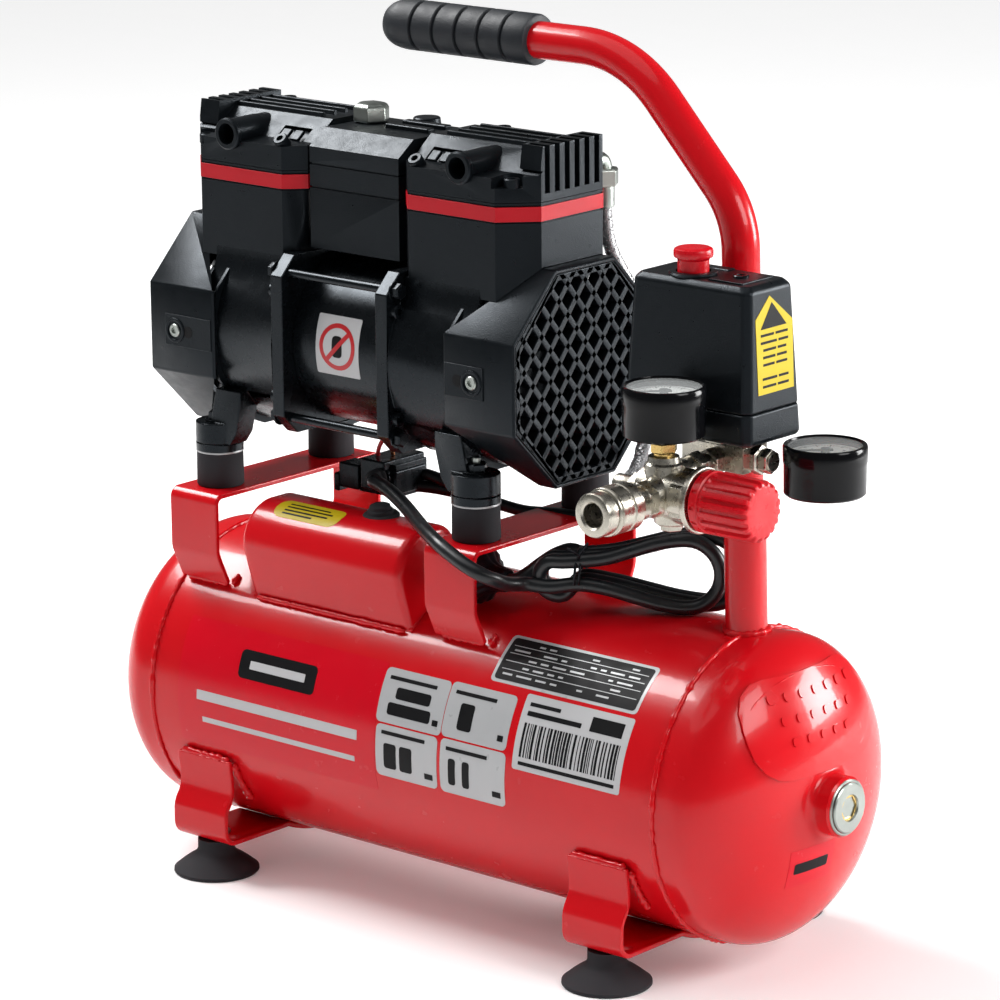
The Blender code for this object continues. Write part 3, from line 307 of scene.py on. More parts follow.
PAINT = surface("red_powder_coat", (0.67, 0.0035, 0.009), 0.25, coat=0.30, vary=0.04, scale=14,
                spread=0.025, grain=0.05, grain_scale=420, specular=0.25)
DECAL_RED = surface("bright_red_film", (0.68, 0.002, 0.014), 0.22, coat=0.15, vary=0.02,
                    specular=0.25)
COOL = (0.78, 0.89, 1.0)
PLASTIC = surface("satin_black_plastic", (0.0045, 0.0060, 0.0075), 0.33, vary=0.12, grain=0.35,
                  grain_scale=1500, specular=0.25, glint=COOL)
HOUSING = surface("smooth_black_plastic", (0.0035, 0.0045, 0.0055), 0.27, vary=0.12, grain=0.2,
                  grain_scale=1300, specular=0.22, glint=COOL)
CASTING = surface("gloss_black_paint", (0.0030, 0.004, 0.005), 0.27, vary=0.1, spread=0.03,
                  grain=0.08, grain_scale=500, specular=0.32, glint=COOL)
GLOSS = surface("black_enamel", (0.0030, 0.0032, 0.004), 0.15, vary=0.1, grain=0.05, specular=0.22)
RUBBER = surface("black_rubber", (0.007, 0.0075, 0.009), 0.36, vary=0.15, spread=0.1, grain=0.3,
                 grain_scale=1100, specular=0.3)
GRIP = surface("grip_foam", (0.014, 0.017, 0.022), 0.52, vary=0.12, grain=0.5, grain_scale=1400,
               specular=0.4)
CORD = surface("cord_jacket", (0.0075, 0.009, 0.011), 0.33, vary=0.12, grain=0.15, grain_scale=700,
               specular=0.5)
NICKEL = surface("nickel_plate", (0.54, 0.51, 0.44), 0.29, metallic=1.0, vary=0.07, scale=60,
                 grain=0.08, grain_scale=700)
ZINC = surface("zinc_plate", (0.40, 0.43, 0.40), 0.34, metallic=1.0, vary=0.1, scale=80,
               grain=0.12, grain_scale=900)
STEEL = surface("steel", (0.50, 0.50, 0.52), 0.30, metallic=1.0, vary=0.1, scale=90, grain=0.1,
                stretch=(0.15, 1, 1))
BRASS = surface("brass", (0.72, 0.50, 0.18), 0.26, metallic=1.0, vary=0.08, scale=90)
SPINDLE = surface("aluminium_turned", (0.72, 0.72, 0.73), 0.34, metallic=1.0, grain=0.15)
COPPER = surface("enamelled_windings", (0.42, 0.16, 0.07), 0.35, metallic=0.8, grain=0.4)
KNOB_RED = surface("red_knob_plastic", (0.64, 0.003, 0.011), 0.30, vary=0.03, grain=0.1,
                   specular=0.4)
STRIPE = surface("red_stripe", (0.56, 0.002, 0.012), 0.34, vary=0.03, grain=0.1, specular=0.35)
YELLOW = surface("yellow_film", (0.62, 0.46, 0.008), 0.40, vary=0.03, specular=0.25)
SILVER = surface("silver_film", (0.52, 0.53, 0.54), 0.33, metallic=0.1, vary=0.03)
WHITE = surface("white_film", (0.58, 0.58, 0.59), 0.4, vary=0.02, specular=0.3)
INK = surface("black_ink", (0.007, 0.007, 0.008), 0.45, vary=0.05, specular=0.15)
WARN_RED = surface("red_ink", (0.55, 0.015, 0.02), 0.4, vary=0.03)
DIAL = surface("dial_card", (0.70, 0.71, 0.69), 0.55, vary=0.02)
LENS = surface("gauge_lens", (0.90, 0.93, 0.93), 0.06, alpha=0.22, vary=0.0, spread=0.0)


# ---------------------------------------------------------------- making pieces

def to_metres(bm):
    """Make a bmesh's normals point out and take it to metres in the row frame."""
    bmesh.ops.recalc_face_normals(bm, faces=bm.faces)
    bmesh.ops.scale(bm, vec=(MM, MM, MM), verts=bm.verts)
    bmesh.ops.translate(bm, vec=ORIGIN, verts=bm.verts)


def dress(obj, material, body="frame", replaces=None, sharp=35, bevel=0.0, segments=2):
    mesh = obj.data
    mesh.materials.clear()
    mesh.materials.append(material)
    mesh.shade_smooth()
    mesh.set_sharp_from_angle(angle=radians(sharp))
    if bevel:
        modifier = obj.modifiers.new("edges", "BEVEL")
        modifier.width = bevel * MM
        modifier.segments = segments
        modifier.limit_method = "ANGLE"
        modifier.angle_limit = radians(32)
        modifier.harden_normals = True
    if replaces:
        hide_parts(*([replaces] if isinstance(replaces, str) else replaces))
    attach(obj, body)
    return obj


def piece(name, bm, material, body="frame", replaces=None, slot=None, sharp=35, bevel=0.0,
          segments=2):
    """Turn a millimetre bmesh into a piece of the object."""
    to_metres(bm)
    return dress(add_mesh(name, bm), material, body, replaces,
                 sharp, bevel, segments)


def rounded(node, material, bevel, segments=2, cuts=()):
    """Copy of a CAD node with its edges rounded, and optionally with more cut away."""
    bm = bmesh.new()
    bm.from_mesh(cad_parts[node].data)
    bmesh.ops.remove_doubles(bm, verts=bm.verts, dist=1e-6)
    bmesh.ops.dissolve_limit(bm, angle_limit=radians(1), verts=bm.verts, edges=bm.edges)
    obj = add_mesh(node + "_looks", bm)
    for cut in cuts:
        carve(obj, cut)
    return dress(obj, material, replaces=node, bevel=bevel, segments=segments)


def carve(obj, bm, operation="DIFFERENCE"):
    """Boolean with a millimetre bmesh, applied to the piece's mesh."""
    to_metres(bm)
    tool = add_mesh("cutter", bm)
    modifier = obj.modifiers.new("cut", "BOOLEAN")
    modifier.operation = operation
    modifier.solver = "EXACT"
    modifier.object = tool
    bpy.context.view_layer.update()
    evaluated = obj.evaluated_get(bpy.context.evaluated_depsgraph_get())
    result = bpy.data.meshes.new_from_object(evaluated)
    obj.modifiers.remove(modifier)
    obj.data = result
    bpy.data.objects.remove(tool, do_unlink=True)


def finish_node(node, material):
    """Keep a CAD node's shape and give it a material."""
    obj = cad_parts[node]
    for slot in obj.material_slots:
        slot.material = material


# ---------------------------------------------------------------- shapes

def arc(centre, radius, first, last, count):
    points = []
    for step in range(count + 1):
        angle = radians(first + (last - first) * step / count)
        points.append((centre[0] + radius * cos(angle), centre[1] + radius * sin(angle)))
    return points


def hexagon_ring(centre, half, count):
    """Hexagon with its flats half away, as count points at even angles."""
    points = []
    for angle in circle(count):
        reach = half / cos(angle % (pi / 3) - pi / 6)
        points.append((centre[0] + reach * cos(angle), centre[1] + reach * sin(angle)))
    return points


def chamfered(half_u, half_v, chamfer, centre=(0, 0)):
    cu, cv = centre
    points = [(half_u, half_v - chamfer), (half_u - chamfer, half_v), (-half_u + chamfer, half_v),
              (-half_u, half_v - chamfer), (-half_u, -half_v + chamfer),
              (-half_u + chamfer, -half_v), (half_u - chamfer, -half_v),
              (half_u, -half_v + chamfer)]
    return [(cu + u, cv + v) for u, v in points]


def corner_of(axis, point, along):
    u, v = point
    return {"x": (along, u, v), "y": (u, along, v), "z": (u, v, along)}[axis]


def prism(outline, axis, start, end, bm=None):
    bm = bm or bmesh.new()
    rings = [[bm.verts.new(corner_of(axis, point, along)) for point in outline]
             for along in (start, end)]
    return bridge(bm, rings, caps=True)


def bridge(bm, rings, caps=False, closed=False):
    """Faces between rings of vertices, each ring joined to the next."""
    pairs = list(zip(rings, rings[1:]))
    if closed:
        pairs.append((rings[-1], rings[0]))
    for first, second in pairs:
        for index in range(len(first)):
            after = (index + 1) % len(first)
            corners = []
            for vert in (first[index], first[after], second[after], second[index]):
                if vert not in corners:
                    corners.append(vert)
            if len(corners) > 2:
                bm.faces.new(corners)
    if caps:
        bm.faces.new(rings[0])
        bm.faces.new(rings[-1])
    return bm


def ring_prism(outer, inner, axis, start, end):
    """Prism with a hole of the same number of corners."""
    bm = bmesh.new()
    rings = [[bm.verts.new(corner_of(axis, point, along)) for point in outline]
             for outline, along in ((outer, start), (outer, end), (inner, end), (inner, start))]
    return bridge(bm, rings, closed=True)


def box(low, high, bm=None):
    outline = [(low[0], low[1]), (high[0], low[1]), (high[0], high[1]), (low[0], high[1])]
    return prism(outline, "z", low[2], high[2], bm)


def axis_and_across(axis):
    axis = Vector(axis).normalized()
    helper = AXIS_Z if abs(axis.z) < 0.9 else AXIS_X
    return axis, (helper - axis * helper.dot(axis)).normalized()


def lathe(profile, base, axis, segments=48, closed=False, bm=None):
    """Turn (distance along axis, radius) points about an axis through base."""
    bm = bm or bmesh.new()
    axis, across = axis_and_across(axis)
    rings = []
    for along, radius in profile:
        centre = Vector(base) + axis * along
        if radius < 1e-6:
            rings.append([bm.verts.new(centre)] * segments)
            continue
        rings.append([bm.verts.new(centre + Matrix.Rotation(2 * pi * step / segments, 3,
                                                            axis) @ across * radius)
                      for step in range(segments)])
    return bridge(bm, rings, closed=closed)


def solid(profile, base, axis, segments=48, bm=None):
    """Lathed profile, closed to the axis at both ends."""
    ends = [(profile[0][0], 0)], [(profile[-1][0], 0)]
    return lathe(ends[0] + profile + ends[1], base, axis, segments, bm=bm)


def rod(start, end, radius, segments=32, bm=None):
    length = (Vector(end) - Vector(start)).length
    return solid([(0, radius), (length, radius)], start, Vector(end) - Vector(start), segments, bm)


def smooth_route(points, spacing):
    """Points about spacing apart on a Catmull-Rom curve through the given points."""
    points = [Vector(point) for point in points]
    ends = [2 * points[0] - points[1]] + points + [2 * points[-1] - points[-2]]
    route = [points[0]]
    for before, start, end, after in zip(ends, ends[1:], ends[2:], ends[3:]):
        count = max(1, round((end - start).length / spacing))
        for step in range(1, count + 1):
            t = step / count
            route.append(0.5 * (2 * start + (end - before) * t
                                + (2 * before - 5 * start + 4 * end - after) * t ** 2
                                + (3 * start - before - 3 * end + after) * t ** 3))
    return route


def framed(route, closed=False):
    """A tangent and two normals for each point, turning as little as possible."""
    frames = []
    count = len(route)
    normal = None
    for index, point in enumerate(route):
        before = route[index - 1] if index or closed else point
        after = route[(index + 1) % count] if index < count - 1 or closed else point
        tangent = (after - before).normalized()
        if normal is None:
            helper = AXIS_Z if abs(tangent.z) < 0.9 else AXIS_X
            normal = helper
        normal = (normal - tangent * normal.dot(tangent)).normalized()
        frames.append((point, tangent, normal, tangent.cross(normal)))
    return frames


def sweep(route, radius, sides=20, closed=False, bm=None):
    """Tube along a route. radius is a number or a function of (index, angle)."""
    bm = bm or bmesh.new()
    rings = []
    for index, (point, _, normal, side) in enumerate(framed(route, closed)):
        ring = []
        for angle in circle(sides):
            size = radius(index, angle) if callable(radius) else radius
            ring.append(bm.verts.new(point + (normal * cos(angle) + side * sin(angle)) * size))
        rings.append(ring)
    return bridge(bm, rings, caps=not closed, closed=closed)


def bead(name, points, radius, seed, closed=False):
    """Lumpy weld bead under paint."""
    chance = random.Random(seed)
    route = smooth_route(points, WELD_STEP) if not closed else [Vector(point) for point in points]
    sizes = [radius * (1.0 + 0.28 * chance.uniform(-1, 1) + 0.14 * sin(index * 1.9))
             for index in range(len(route))]
    sizes[0] = sizes[0] if closed else radius * 0.5
    sizes[-1] = sizes[-1] if closed else radius * 0.5
    bm = sweep(route, lambda index, _: sizes[index], 10, closed)
    return piece(name, bm, PAINT, sharp=80)


def patch(u_range, v_range, place, low, high, corner, steps, bm=None):
    """Thin film with rounded corners on a surface. place(u, v, lift) gives its points."""
    bm = bm or bmesh.new()
    u0, u1 = u_range
    v0, v1 = v_range
    columns = []
    stops = [u0 + (u1 - u0) * k / steps[0] for k in range(steps[0] + 1)]
    if corner:
        rounding = [corner * (1 - cos(radians(a))) for a in (0, 22.5, 45, 67.5)]
        inner = [u for u in stops if u0 + corner < u < u1 - corner]
        stops = ([u0 + r for r in rounding] + [u0 + corner] + inner + [u1 - corner]
                 + [u1 - r for r in reversed(rounding)])
    for u in stops:
        edge = min(u - u0, u1 - u)
        cut = 0.0
        if edge < corner:
            cut = corner - sqrt(max(0.0, corner ** 2 - (corner - edge) ** 2))
        columns.append([(u, v0 + cut + (v1 - v0 - 2 * cut) * k / steps[1])
                        for k in range(steps[1] + 1)])
    layers = [[[bm.verts.new(place(u, v, lift)) for u, v in column] for column in columns]
              for lift in (low, high)]
    for layer in layers:
        for left, right in zip(layer, layer[1:]):
            for k in range(steps[1]):
                bm.faces.new((left[k], left[k + 1], right[k + 1], right[k]))

    def rim(layer):
        return ([column[0] for column in layer] + layer[-1][1:]
                + [column[-1] for column in reversed(layer[:-1])] + layer[0][-2:0:-1])

    return bridge(bm, [rim(layers[0]), rim(layers[1])])


def bolt(at, axis, radius, height, bm, washer=0.0):
    """Hexagon head with a chamfer, and a washer under it."""
    at, axis = Vector(at), Vector(axis).normalized()
    if washer:
        solid([(0, washer), (1.0, washer)], at, axis, 24, bm=bm)
        at = at + axis * 1.0
    return solid([(0, radius), (height - 0.8, radius), (height, radius * 0.82)], at, axis, 6,
                 bm=bm)


def screw(at, axis, radius, height, bm):
    """Cap head with a round socket."""
    return solid([(0, radius), (height - 0.5, radius), (height, radius - 0.5),
                  (height, radius * 0.5), (height * 0.4, radius * 0.45)], at, axis, 20, bm=bm)


def spun(name, material, profile, base, axis, sides=48, closed=False, **looks):
    """Piece turned about an axis: a ring if its profile is closed, or else a solid."""
    shape = lathe(profile, base, axis, sides,
                  True) if closed else solid(profile, base, axis, sides)
    return piece(name, shape, material, **looks)


def offset_x(side, offset):
    return PUMP_X + side * offset


def span(side, first, last):
    """Lowest and highest x between two distances from the motor's middle."""
    return sorted((offset_x(side, first), offset_x(side, last)))


def side_name(side):
    return "right" if side > 0 else "left"


def turned(stations, base, axis, count, shape):
    """Solid of revolution whose rings are cut in by shape(step, index) times their depth.

    stations are (distance along axis, radius, depth).
    """
    bm = bmesh.new()
    axis, across = axis_and_across(axis)
    rings = []
    for index, (along, radius, depth) in enumerate(stations):
        centre = Vector(base) + axis * along
        ring = []
        for step in range(count):
            size = radius - depth * shape(step, index)
            turn = Matrix.Rotation(2 * pi * step / count, 3, axis)
            ring.append(bm.verts.new(centre + turn @ across * size))
        rings.append(ring)
    return bridge(bm, rings, caps=True)


def film(bm, corners, lift):
    """Thin flat sheet: corners in order, and the vector to its outer face."""
    lift = Vector(lift)
    rings = [[bm.verts.new(Vector(corner) + lift * part) for corner in corners]
             for part in (0.0, 1.0)]
    return bridge(bm, rings, caps=True)


def spoke(bm, base, out, across, near, far, lift):
    """Thin bar reaching outward from base, twice across wide."""
    film(bm, [base + out * near + across, base + out * near - across, base + out * far - across,
              base + out * far + across], lift)


def numeral(bm, text, centre, size):
    """Raised digits lying face up round a centre."""
    curve = bpy.data.curves.new("numeral", "FONT")
    curve.body = text
    curve.size = size
    curve.extrude = 0.04
    curve.align_x = "CENTER"
    curve.align_y = "CENTER"
    holder = add_object("numeral", curve)
    mesh = bpy.data.meshes.new_from_object(holder)
    mesh.transform(Matrix.Translation(centre))
    bm.from_mesh(mesh)
    bpy.data.objects.remove(holder, do_unlink=True)
    bpy.data.meshes.remove(mesh)


# ---------------------------------------------------------------- cord and hose

def hank_point(along, across, rise):
    """Point of the hank: along it from its left end, back from its middle, and up."""
    start, end = Vector(HANK_START), Vector(HANK_END)
    run = (end - start).normalized()
    place = start + run * along + Vector((-run.y, run.x)) * across
    return (place.x, place.y, (HANK_Z[0] + HANK_Z[1]) / 2 + rise)


def cord_route():
    """The lead, three turns held by a tie near their left end, and the tail to the plug."""
    length = (Vector(HANK_END) - Vector(HANK_START)).length
    wide = (HANK_Z[1] - HANK_Z[0]) / 2 - CORD_RADIUS
    layer = 8.3
    route = list(CORD_POINTS) + [hank_point(12, -layer, -10.0)]
    for turn in range(HANK_TURNS):
        across = layer * (turn - 1)
        centre = length - CORD_RADIUS - wide - (11.0 if turn == 0 else 0.0)
        run = [(HANK_TIE + (centre - HANK_TIE) * t, t * t * (3 - 2 * t))
               for t in (0.0, 0.25, 0.5, 0.75)]
        route += [hank_point(along, across, TIE_LOW - (wide + TIE_LOW) * part)
                  for along, part in run]
        route += [hank_point(along, across, rise)
                  for along, rise in arc((centre, 0), wide, -90, 90, 6)]
        route += [hank_point(along, across, TIE_HIGH + (wide - TIE_HIGH) * part)
                  for along, part in run[::-1]]
        if turn < HANK_TURNS - 1:
            lobe = arc((15.0, -6.1), 10.5, 75, 285, 5)
            route += [hank_point(along, across + layer * (step + 0.5) / len(lobe), rise)
                      for step, (along, rise) in enumerate(lobe)]
    route += [hank_point(19, layer + 5.0, 5.0), hank_point(10, layer + 8.0, 1.0),
              hank_point(2, layer + 7.0, -4.5), hank_point(-5, layer + 3.0, -9.5)]
    x, y, z = PLUG_AT
    return route + [(x + 3, y, z + 0.3), (x - 6, y, z)]


def make_cord():
    route = smooth_route(cord_route(), 3.0)
    cord = piece("power_lead", sweep(route, CORD_RADIUS, 18), CORD,
                 replaces=("power_cord", "cord_hank"), sharp=80)

    x, y, z = PLUG_AT
    reach = 30.0
    body = turned([(0, 5.4, 0), (1.2, 6.4, 0), (8, 7.4, 0.8), (12, 9.5, 0.8), (16, 14.6, 1.2),
                   (18, 15.8, 1.2), (26, 16.2, 1.2), (reach - 1, 16.2, 0), (reach, 15.2, 0)],
                  (x, y, z), -AXIS_X, 72, lambda step, _: max(0.0, cos(2 * pi * step * 12 / 72)))
    plug = piece("lead_plug", body, PLASTIC, replaces="mains_plug")
    bm = bmesh.new()
    for side in (-9.5, 9.5):
        solid([(0, 2.4), (17.5, 2.4), (19, 1.2)], (x - reach + 0.5, y + side, z), -AXIS_X, 20,
              bm=bm)
    pins = piece("lead_plug_pins", bm, NICKEL)

    relief = smooth_route([CORD_POINTS[0], CORD_POINTS[1], CORD_POINTS[2]], 1.5)
    steps = len(relief) - 1
    piece("lead_relief", sweep(relief, lambda k, _: 5.9 - 1.5 * k / steps - 0.5 * (k % 3 == 2),
                               24), RUBBER)
    tie = bmesh.new()
    for step, shift in enumerate((-1.6, 0.9)):
        ring = [Vector(hank_point(HANK_TIE + shift + 0.8 * sin(a), 14.0 * cos(a),
                                  11.2 * sin(a) - 1.5)) for a in circle(40)]
        sweep(ring, 0.75 - 0.1 * step, 8, closed=True, bm=tie)
    for end in ((6, -16, 17), (-5, -19, 14.5)):
        tail = smooth_route([hank_point(HANK_TIE, -12.5, 6.5), hank_point(HANK_TIE + 1, -15, 10),
                             hank_point(HANK_TIE + end[0], end[1], end[2])], 1.5)
        sweep(tail, 0.7, 8, bm=tie)
    strap = piece("lead_tie", tie, PLASTIC, sharp=80)


def make_hose():
    """Braided hose: a core under two families of wire bundles, with its end fittings."""
    route = smooth_route(HOSE_POINTS, 1.5)
    frames = framed(route)
    piece("hose_core", sweep(route, HOSE_RADIUS - 0.9, 16), RUBBER, replaces="braided_hose",
          slot="steel", sharp=80)
    bundles, pitch = 9, 17.0
    distance = [0.0]
    for before, after in zip(route, route[1:]):
        distance.append(distance[-1] + (after - before).length)
    for hand, name in ((1, "hose_braid_right"), (-1, "hose_braid_left")):
        bm = bmesh.new()
        for bundle in range(bundles):
            strip = []
            for index, (point, tangent, normal, side) in enumerate(frames):
                angle = 2 * pi * bundle / bundles + hand * 2 * pi * distance[index] / pitch
                weave = 0.22 * cos(bundles * 2 * pi * distance[index] / pitch + pi * bundle
                                   + (hand < 0) * pi)
                out = normal * cos(angle) + side * sin(angle)
                around = side * cos(angle) - normal * sin(angle)
                middle = point + out * (HOSE_RADIUS - 0.55 + weave)
                width = (around - tangent * hand * 0.5).normalized() * 0.72
                half = out * 0.3
                corners = (middle - width - half, middle + width - half,
                           middle + width * 0.7 + half, middle - width * 0.7 + half)
                strip.append([bm.verts.new(corner) for corner in corners])
            bridge(bm, strip, caps=True)
        piece(name, bm, STEEL, sharp=50)

    x, y, z = HOSE_POINTS[0]
    spun("hose_ferrule_upper", ZINC, [(0, 5.6), (1, 6.0), (15, 6.0), (16, 5.2)], (x, y, z - 2),
         -AXIS_Z, 32, bevel=0.3)
    spun("hose_nut_upper", ZINC, [(0, 7.6), (1.2, 8.6), (9, 8.6), (10, 7.8)], (x, y, z + 4),
         -AXIS_Z, 6, bevel=0.4)
    elbow = smooth_route([(x, y, z), (x, y, z + 5), (x, y - 3, z + 8.5), (x, y - 9, z + 8.5)], 1.5)
    piece("hose_elbow", sweep(elbow, 4.6, 20), ZINC, sharp=80)
    x, y, z = HOSE_POINTS[-1]
    spun("hose_ferrule_lower", NICKEL, [(0, 5.0), (1, 5.6), (10, 5.6), (11, 5.0)], (x - 9, y, z),
         -AXIS_X, 32, bevel=0.3)
    spun("hose_nut_lower", NICKEL, [(0, 7.0), (1, 7.8), (9, 7.8), (10, 7.0)], (x + 0.6, y, z),
         -AXIS_X, 6, bevel=0.4)


# ---------------------------------------------------------------- tank

def head_point(y, z, lift):
    """Point on the right dished end, from its y and its height above the tank's axis."""
    inside = max(0.02, 1 - (y * y + z * z) / TANK_RADIUS ** 2)
    x = HEAD_DEPTH * sqrt(inside)
    normal = Vector((x / HEAD_DEPTH ** 2, y / TANK_RADIUS ** 2, z / TANK_RADIUS ** 2)).normalized()
    return Vector((SEAM_X + HEAD_SKIRT + x, y, TANK_Z + z)) + normal * lift


def shell_point(x, angle, lift):
    """Point on the tank's front, from x and the angle above the horizontal in degrees."""
    angle = radians(angle)
    radius = TANK_RADIUS + lift
    return Vector((x, -radius * cos(angle), TANK_Z + radius * sin(angle)))


def make_tank():
    dome = SEAM_X + HEAD_SKIRT + HEAD_DEPTH
    shoulder = [(SEAM_X + HEAD_SKIRT + HEAD_DEPTH * sin(radians(step * 2.5)),
                 TANK_RADIUS * cos(radians(step * 2.5))) for step in range(36)]
    left = [(-along, radius) for along, radius in shoulder + [(dome, 0)]][::-1]
    right = [(along, radius) for along, radius in shoulder if radius > BOSS_RADIUS + 3]
    right += [(dome - 0.6, BOSS_RADIUS + 2.2), (dome + 0.9, BOSS_RADIUS + 0.4),
              (dome + 2.2, BOSS_RADIUS), (BOSS_FACE_X - 1.2, BOSS_RADIUS),
              (BOSS_FACE_X, BOSS_RADIUS - 1.2), (BOSS_FACE_X, 0)]
    profile = left + [(-SEAM_X, TANK_RADIUS), (SEAM_X, TANK_RADIUS)] + right
    piece("tank_body", lathe(profile, (0, 0, TANK_Z), AXIS_X, 160), PAINT, sharp=40,
          replaces=("tank_shell", "tank_end_left", "tank_end_right"))
    for side in (-1, 1):
        ring = [(side * SEAM_X, (TANK_RADIUS + 0.2) * cos(a),
                 TANK_Z + (TANK_RADIUS + 0.2) * sin(a)) for a in circle(260)]
        bead(f"seam_weld_{side_name(side)}", ring, 1.5, closed=True, seed=3 + side)

    plate = patch((-52, 50), (19, 70), head_point, -1.0, 1.5, 22, (14, 10))
    piece("head_plate", plate, PAINT, sharp=50, bevel=0.5)
    rim = [head_point(-1 + 50 * cos(a), 44.5 + 25 * sin(a), 0.4) for a in circle(90)]
    piece("head_plate_rim", sweep(rim, 1.1, 8, closed=True), PAINT, sharp=80)
    dots = bmesh.new()
    for row, height in enumerate((58, 47, 36)):
        for k in range(7 - row):
            y = -34 + row * 4 + k * 10.5
            patch((y, y + 6.5), (height, height + 4.4), head_point, 1.0, 2.2, 1.5, (2, 2), dots)
    piece("head_plate_marks", dots, PAINT, sharp=50)
    sticker = patch((-29, 6), (-42, -20.5), head_point, -0.5, 0.15, 1.0, (8, 6))
    piece("head_sticker", sticker, DECAL_RED)
    bar = patch((-25, 1), (-34.5, -28.5), head_point, 0.05, 0.25, 1.0, (6, 2))
    piece("head_sticker_bar", bar, INK)

    base = BOSS_FACE_X
    spun("thread_seal", ZINC, [(-2, 13.9), (-2, 15.2), (0.5, 15.2), (1.0, 14.6), (1.0, 13.9)],
         (base, 0, TANK_Z), AXIS_X, 40, closed=True)
    depth = place_of("end_plug")[1].x - base - 0.6
    spun("drain_plug", ZINC, [(0, 13.0), (0.5, 13.6), (depth - 0.6, 13.6), (depth, 12.9),
                              (depth, 7.4), (depth - 0.8, 6.8), (depth - 6.0, 6.6)],
         (base + 0.6, 0, TANK_Z), AXIS_X, 48, replaces="end_plug")
    piece("drain_plug_socket", ring_prism(arc((0, TANK_Z), 7.0, 0, 345, 23),
                                          hexagon_ring((0, TANK_Z), 5.6, 24), "x",
                                          base + depth - 5.4, base + depth - 0.4), BRASS)


def strip(half_path, thickness, start, end):
    """Bent flat bar, symmetric about Y = 0; half_path runs from the middle to the tip."""
    path = [Vector(point) for point in half_path]
    inward = []
    for index, point in enumerate(path):
        before = path[max(index - 1, 0)]
        after = path[min(index + 1, len(path) - 1)]
        first = (point - before).normalized() if index else (after - point).normalized()
        second = (after - point).normalized() if index < len(path) - 1 else first
        normal = Vector((-(first + second).y, (first + second).x)).normalized()
        reach = thickness / max(0.4, normal.dot(Vector((-first.y, first.x))))
        inward.append(point + normal * reach)
    right = [tuple(point) for point in path[1:]] + [tuple(point) for point in inward[1:]][::-1]
    left = [(-y, z) for y, z in right[::-1]]
    return prism([tuple(path[0])] + right + [tuple(inward[0])] + left, "x", start, end)


def tank_y(z, clearance=0.3):
    return sqrt((TANK_RADIUS + clearance) ** 2 - (z - TANK_Z) ** 2)


def edge_welds(node, edges, heights, clearance, radius, seed):
    """Beads up both edges of a bracket, at the front and at the rear of the tank."""
    for sign, x in zip((-1, 1), edges):
        for end in (-1, 1):
            points = [(x, end * tank_y(z, clearance), z) for z in heights]
            bead(f"{node}_weld_{'ab'[sign > 0]}{'fr'[end > 0]}", points, radius,
                 seed=seed + sign * 2 + end)


def make_feet():
    low, high = FOOT_PLATE_Z
    thick = high - low
    saddle = TANK_RADIUS + 0.3 + thick
    meet = degrees(asin((low - TANK_Z) / saddle))
    path = arc((0, TANK_Z), saddle, -90, meet, 10) + [(FOOT_FRONT_Y - 9.0, low)]
    path += arc((FOOT_FRONT_Y - 9.0, low + 9.0), 9.0, -90, 0, 8)[1:]
    path += [(FOOT_FRONT_Y - back, z) for back, z in ((0.0, 37.0), (0.5, 40.0), (2.0, 43.5),
                                                      (4.1, 46.5), (5.5, 50.0), (5.8, 54.0),
                                                      (5.4, 60.0), (4.6, 66.0), (4.4, 70.0))]
    profile = [(3.0, 0), (3.0, 15.0), (0.6, 18.6), (0.0, 20.0), (0.0, FOOT_LIP_RADIUS - 0.8),
               (0.8, FOOT_LIP_RADIUS), (2.2, FOOT_LIP_RADIUS - 0.1), (3.2, 23.0), (6.0, 19.6),
               (8.5, 16.2), (10.5, 13.0), (12.0, 11.2), (14.0, 10.5), (low - 0.3, 10.5),
               (low - 0.3, 0)]
    for side in (-1, 1):
        name = side_name(side)
        node = f"foot_bracket_{name}"
        width = place_of(node)
        obj = piece(node + "_bar", strip(path, thick, width[0].x, width[1].x), PAINT,
                    replaces=node, bevel=0.9, segments=3)
        for y in (-FOOT_Y, FOOT_Y):
            carve(obj, rod((side * FOOT_X + 13, y, 10), (side * FOOT_X + 13, y, 30), 3.2, 24))
        half = 0.5 * (width[1].x - width[0].x)
        edge_welds(node, (side * FOOT_X - half, side * FOOT_X + half), (68.5, 60, 51, 44), 1.4,
                   1.9, 20 + side * 4)
        for end in (-1, 1):
            points = [(x, end * (FOOT_FRONT_Y - 6.4), 70.6)
                      for x in (width[0].x + 2, side * FOOT_X, width[1].x - 2)]
            bead(f"{node}_toe_{'fr'[end > 0]}", points, 1.9, seed=40 + side * 2 + end)
        for end, y in (("front", -FOOT_Y), ("rear", FOOT_Y)):
            foot = f"rubber_foot_{name}_{end}"
            piece(foot + "_cup", lathe(profile, (side * FOOT_X, y, 0), AXIS_Z, 72), RUBBER,
                  replaces=foot)
            piece(foot + "_bolt", bolt((side * FOOT_X, y, high), AXIS_Z, 6.2, 4.5, bmesh.new(),
                                       washer=8.5), ZINC, bevel=0.25)


